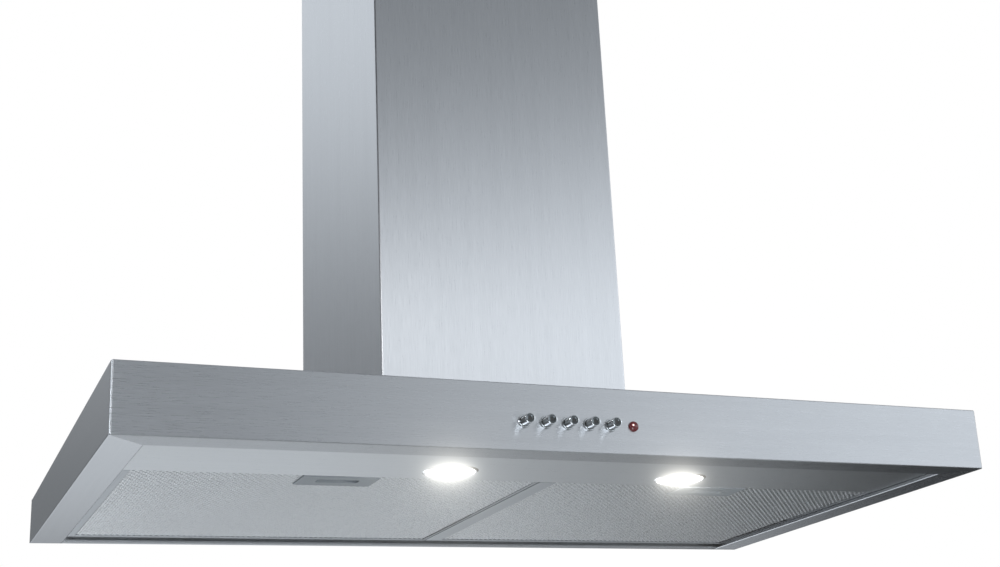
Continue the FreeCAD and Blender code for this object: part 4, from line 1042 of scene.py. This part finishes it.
# Each soft light in degrees: azimuth from the front towards the right, half width and soft edge,
# then elevation, half height and soft edge, and its brightness. The steel mirrors them, so each one
# is placed where the surface it serves looks from the photograph's view
SOFT_LIGHTS = (
    # Front panel and the chimney's lower end, then what fades up the chimney
    (55, 12, 41, 12, 3, 14, 2.05),
    (52, 45, 32, 38, 15, 22, 0.47),
    # A low fill for the front panel
    (35, 20, 22, -16, 6, 10, 0.9),
    # White stripes along the buttons
    (-8, 8, 6, -24, 12, 8, 7.0),
    # White line down the left front corner, and a fill for the left side
    (-68, 20, 8, 6, 2, 3, 14.0),
    (-95, 35, 25, -22, 12, 10, 0.6),
    # Left side of the chimney, then of the canopy
    (-150, 30, 40, 44, 14, 20, 1.4),
    (-171, 10, 8, 5, 8, 6, 0.2),
    # Leaning strands of the meshes
    (-168, 10, 8, -34, 8, 9, 1.5),
    # Rims and lamp strip, then the meshes
    (174, 19, 13, -15, 2, 7, 0.9),
    (179, 16, 13, -31, 8, 9, 0.8),
    # Top faces
    (0, 180, 10, 90, 25, 25, 0.2),
)
AMBIENT = 0.04


def soft_edge(tree, angle, middle_angle, half, soft):
    """One within half the size of the middle angle, fading to zero over the soft edge."""
    away = maths(tree, "SUBTRACT", angle, math.radians(middle_angle))
    size = maths(tree, "ABSOLUTE", maths(tree, "WRAP", away, math.pi, -math.pi))
    return put(tree, "ShaderNodeMapRange", {
        "Value": size, "From Min": math.radians(half + soft), "From Max": math.radians(half),
    }, interpolation_type="SMOOTHSTEP").outputs["Result"]


def make_world():
    """The soft lights as the steel sees them, behind a background that the camera sees white."""
    world = bpy.data.worlds.new("studio")
    bpy.context.scene.world = world
    world.use_nodes = True
    tree = world.node_tree
    tree.nodes.clear()
    direction = put(tree, "ShaderNodeTexCoord").outputs["Generated"]
    split = put(tree, "ShaderNodeSeparateXYZ", {"Vector": direction}).outputs
    azimuth = maths(tree, "ARCTAN2", split["X"], maths(tree, "MULTIPLY", split["Y"], -1.0))
    elevation = maths(tree, "ARCSINE", split["Z"])
    total = AMBIENT
    for middle_az, half_az, soft_az, middle_el, half_el, soft_el, brightness in SOFT_LIGHTS:
        wide = soft_edge(tree, azimuth, middle_az, half_az, soft_az)
        high = soft_edge(tree, elevation, middle_el, half_el, soft_el)
        total = maths(tree, "MULTIPLY_ADD", maths(tree, "MULTIPLY", wide, high), brightness, total)
    studio = put(tree, "ShaderNodeBackground", {"Color": linear("#eef4fa"), "Strength": total})
    white = put(tree, "ShaderNodeBackground", {"Color": linear("#ffffff"), "Strength": 1.0})
    seen = put(tree, "ShaderNodeLightPath").outputs["Is Camera Ray"]
    shown = put(tree, "ShaderNodeMixShader", {0: seen, 1: studio.outputs[0], 2: white.outputs[0]})
    put(tree, "ShaderNodeOutputWorld", {"Surface": shown.outputs[0]})
    bpy.context.scene.view_settings.view_transform = "Standard"


def make_glow():
    """The halo that the lit lamps leave in the picture."""
    scene = bpy.context.scene
    scene.use_nodes = True
    tree = scene.node_tree
    tree.nodes.clear()
    picture = put(tree, "CompositorNodeRLayers")
    glow = put(tree, "CompositorNodeGlare", {
        "Image": picture.outputs["Image"], "Threshold": 1.3, "Strength": 0.7, "Size": 0.8,
    }, glare_type="BLOOM", quality="HIGH")
    put(tree, "CompositorNodeComposite", {"Image": glow.outputs["Image"]})


def make_lamp_light(name):
    """What the lamp throws down past its glass, which also grazes the sheet round it."""
    watts, radius, drop = 0.25, 8 * MM, 14 * MM
    x, y, _ = middle(f"lamp_lens_{name}")
    light = bpy.data.lights.new(f"lamp_light_{name}", "POINT")
    light.energy = watts
    light.shadow_soft_size = radius
    light.color = linear("#fffaf0")[:3]
    spot = bpy.data.objects.new(f"lamp_light_{name}", light)
    spot.location = (x, y, panel_low.z - drop)
    spot.visible_camera = False
    spot.visible_glossy = False
    bpy.context.scene.collection.objects.link(spot)


def make_highlight():
    """A small bright lamp in front, for the white spots on the pilot lens and the buttons."""
    azimuth, elevation, distance = math.radians(-20), math.radians(18), 8.0
    light = bpy.data.lights.new("highlight", "AREA")
    light.shape = "DISK"
    light.size = 0.5
    light.energy = 50.0
    lamp = bpy.data.objects.new("highlight", light)
    level = math.cos(elevation)
    aim = Vector((math.sin(azimuth) * level, -math.cos(azimuth) * level, math.sin(elevation)))
    lamp.location = middle("pilot_lens") + aim * distance
    lamp.rotation_euler = aim.to_track_quat("Z", "Y").to_euler()
    lamp.visible_camera = False
    bpy.context.scene.collection.objects.link(lamp)


def make_camera():
    """The photograph's view, solved from its corners: below the left front corner, a little turned."""
    place = Vector((-0.64212, -1.78993, -0.30594))
    yaw, pitch, roll = math.radians(-27.314), math.radians(18.419), math.radians(3.967)
    camera = bpy.data.cameras.new("camera")
    camera.sensor_width = 36.0
    camera.lens = 55.53
    camera.shift_x = -0.106
    camera.clip_start = 0.05
    view = bpy.data.objects.new("camera", camera)
    turn = Matrix.Rotation(yaw, 4, "Z") @ Matrix.Rotation(pitch + math.pi / 2, 4, "X")
    view.matrix_world = Matrix.Translation(place) @ turn @ Matrix.Rotation(-roll, 4, "Z")
    bpy.context.scene.collection.objects.link(view)
    bpy.context.scene.camera = view


make_front_panel()
make_rear_panel()
make_lamp_panel()
make_buttons()
make_collars()
make_pilot_lens()
make_lower_cover()
make_upper_cover()
expanded = mesh_tree()
for name, side in SIDES:
    make_side_panel(name, side)
    make_lamp(name)
    make_filter_frame(name)
    make_mesh(name, expanded)
    make_handle(name)
    make_lamp_light(name)
dress_solids()
make_floor()
make_world()
make_glow()
make_highlight()
make_camera()
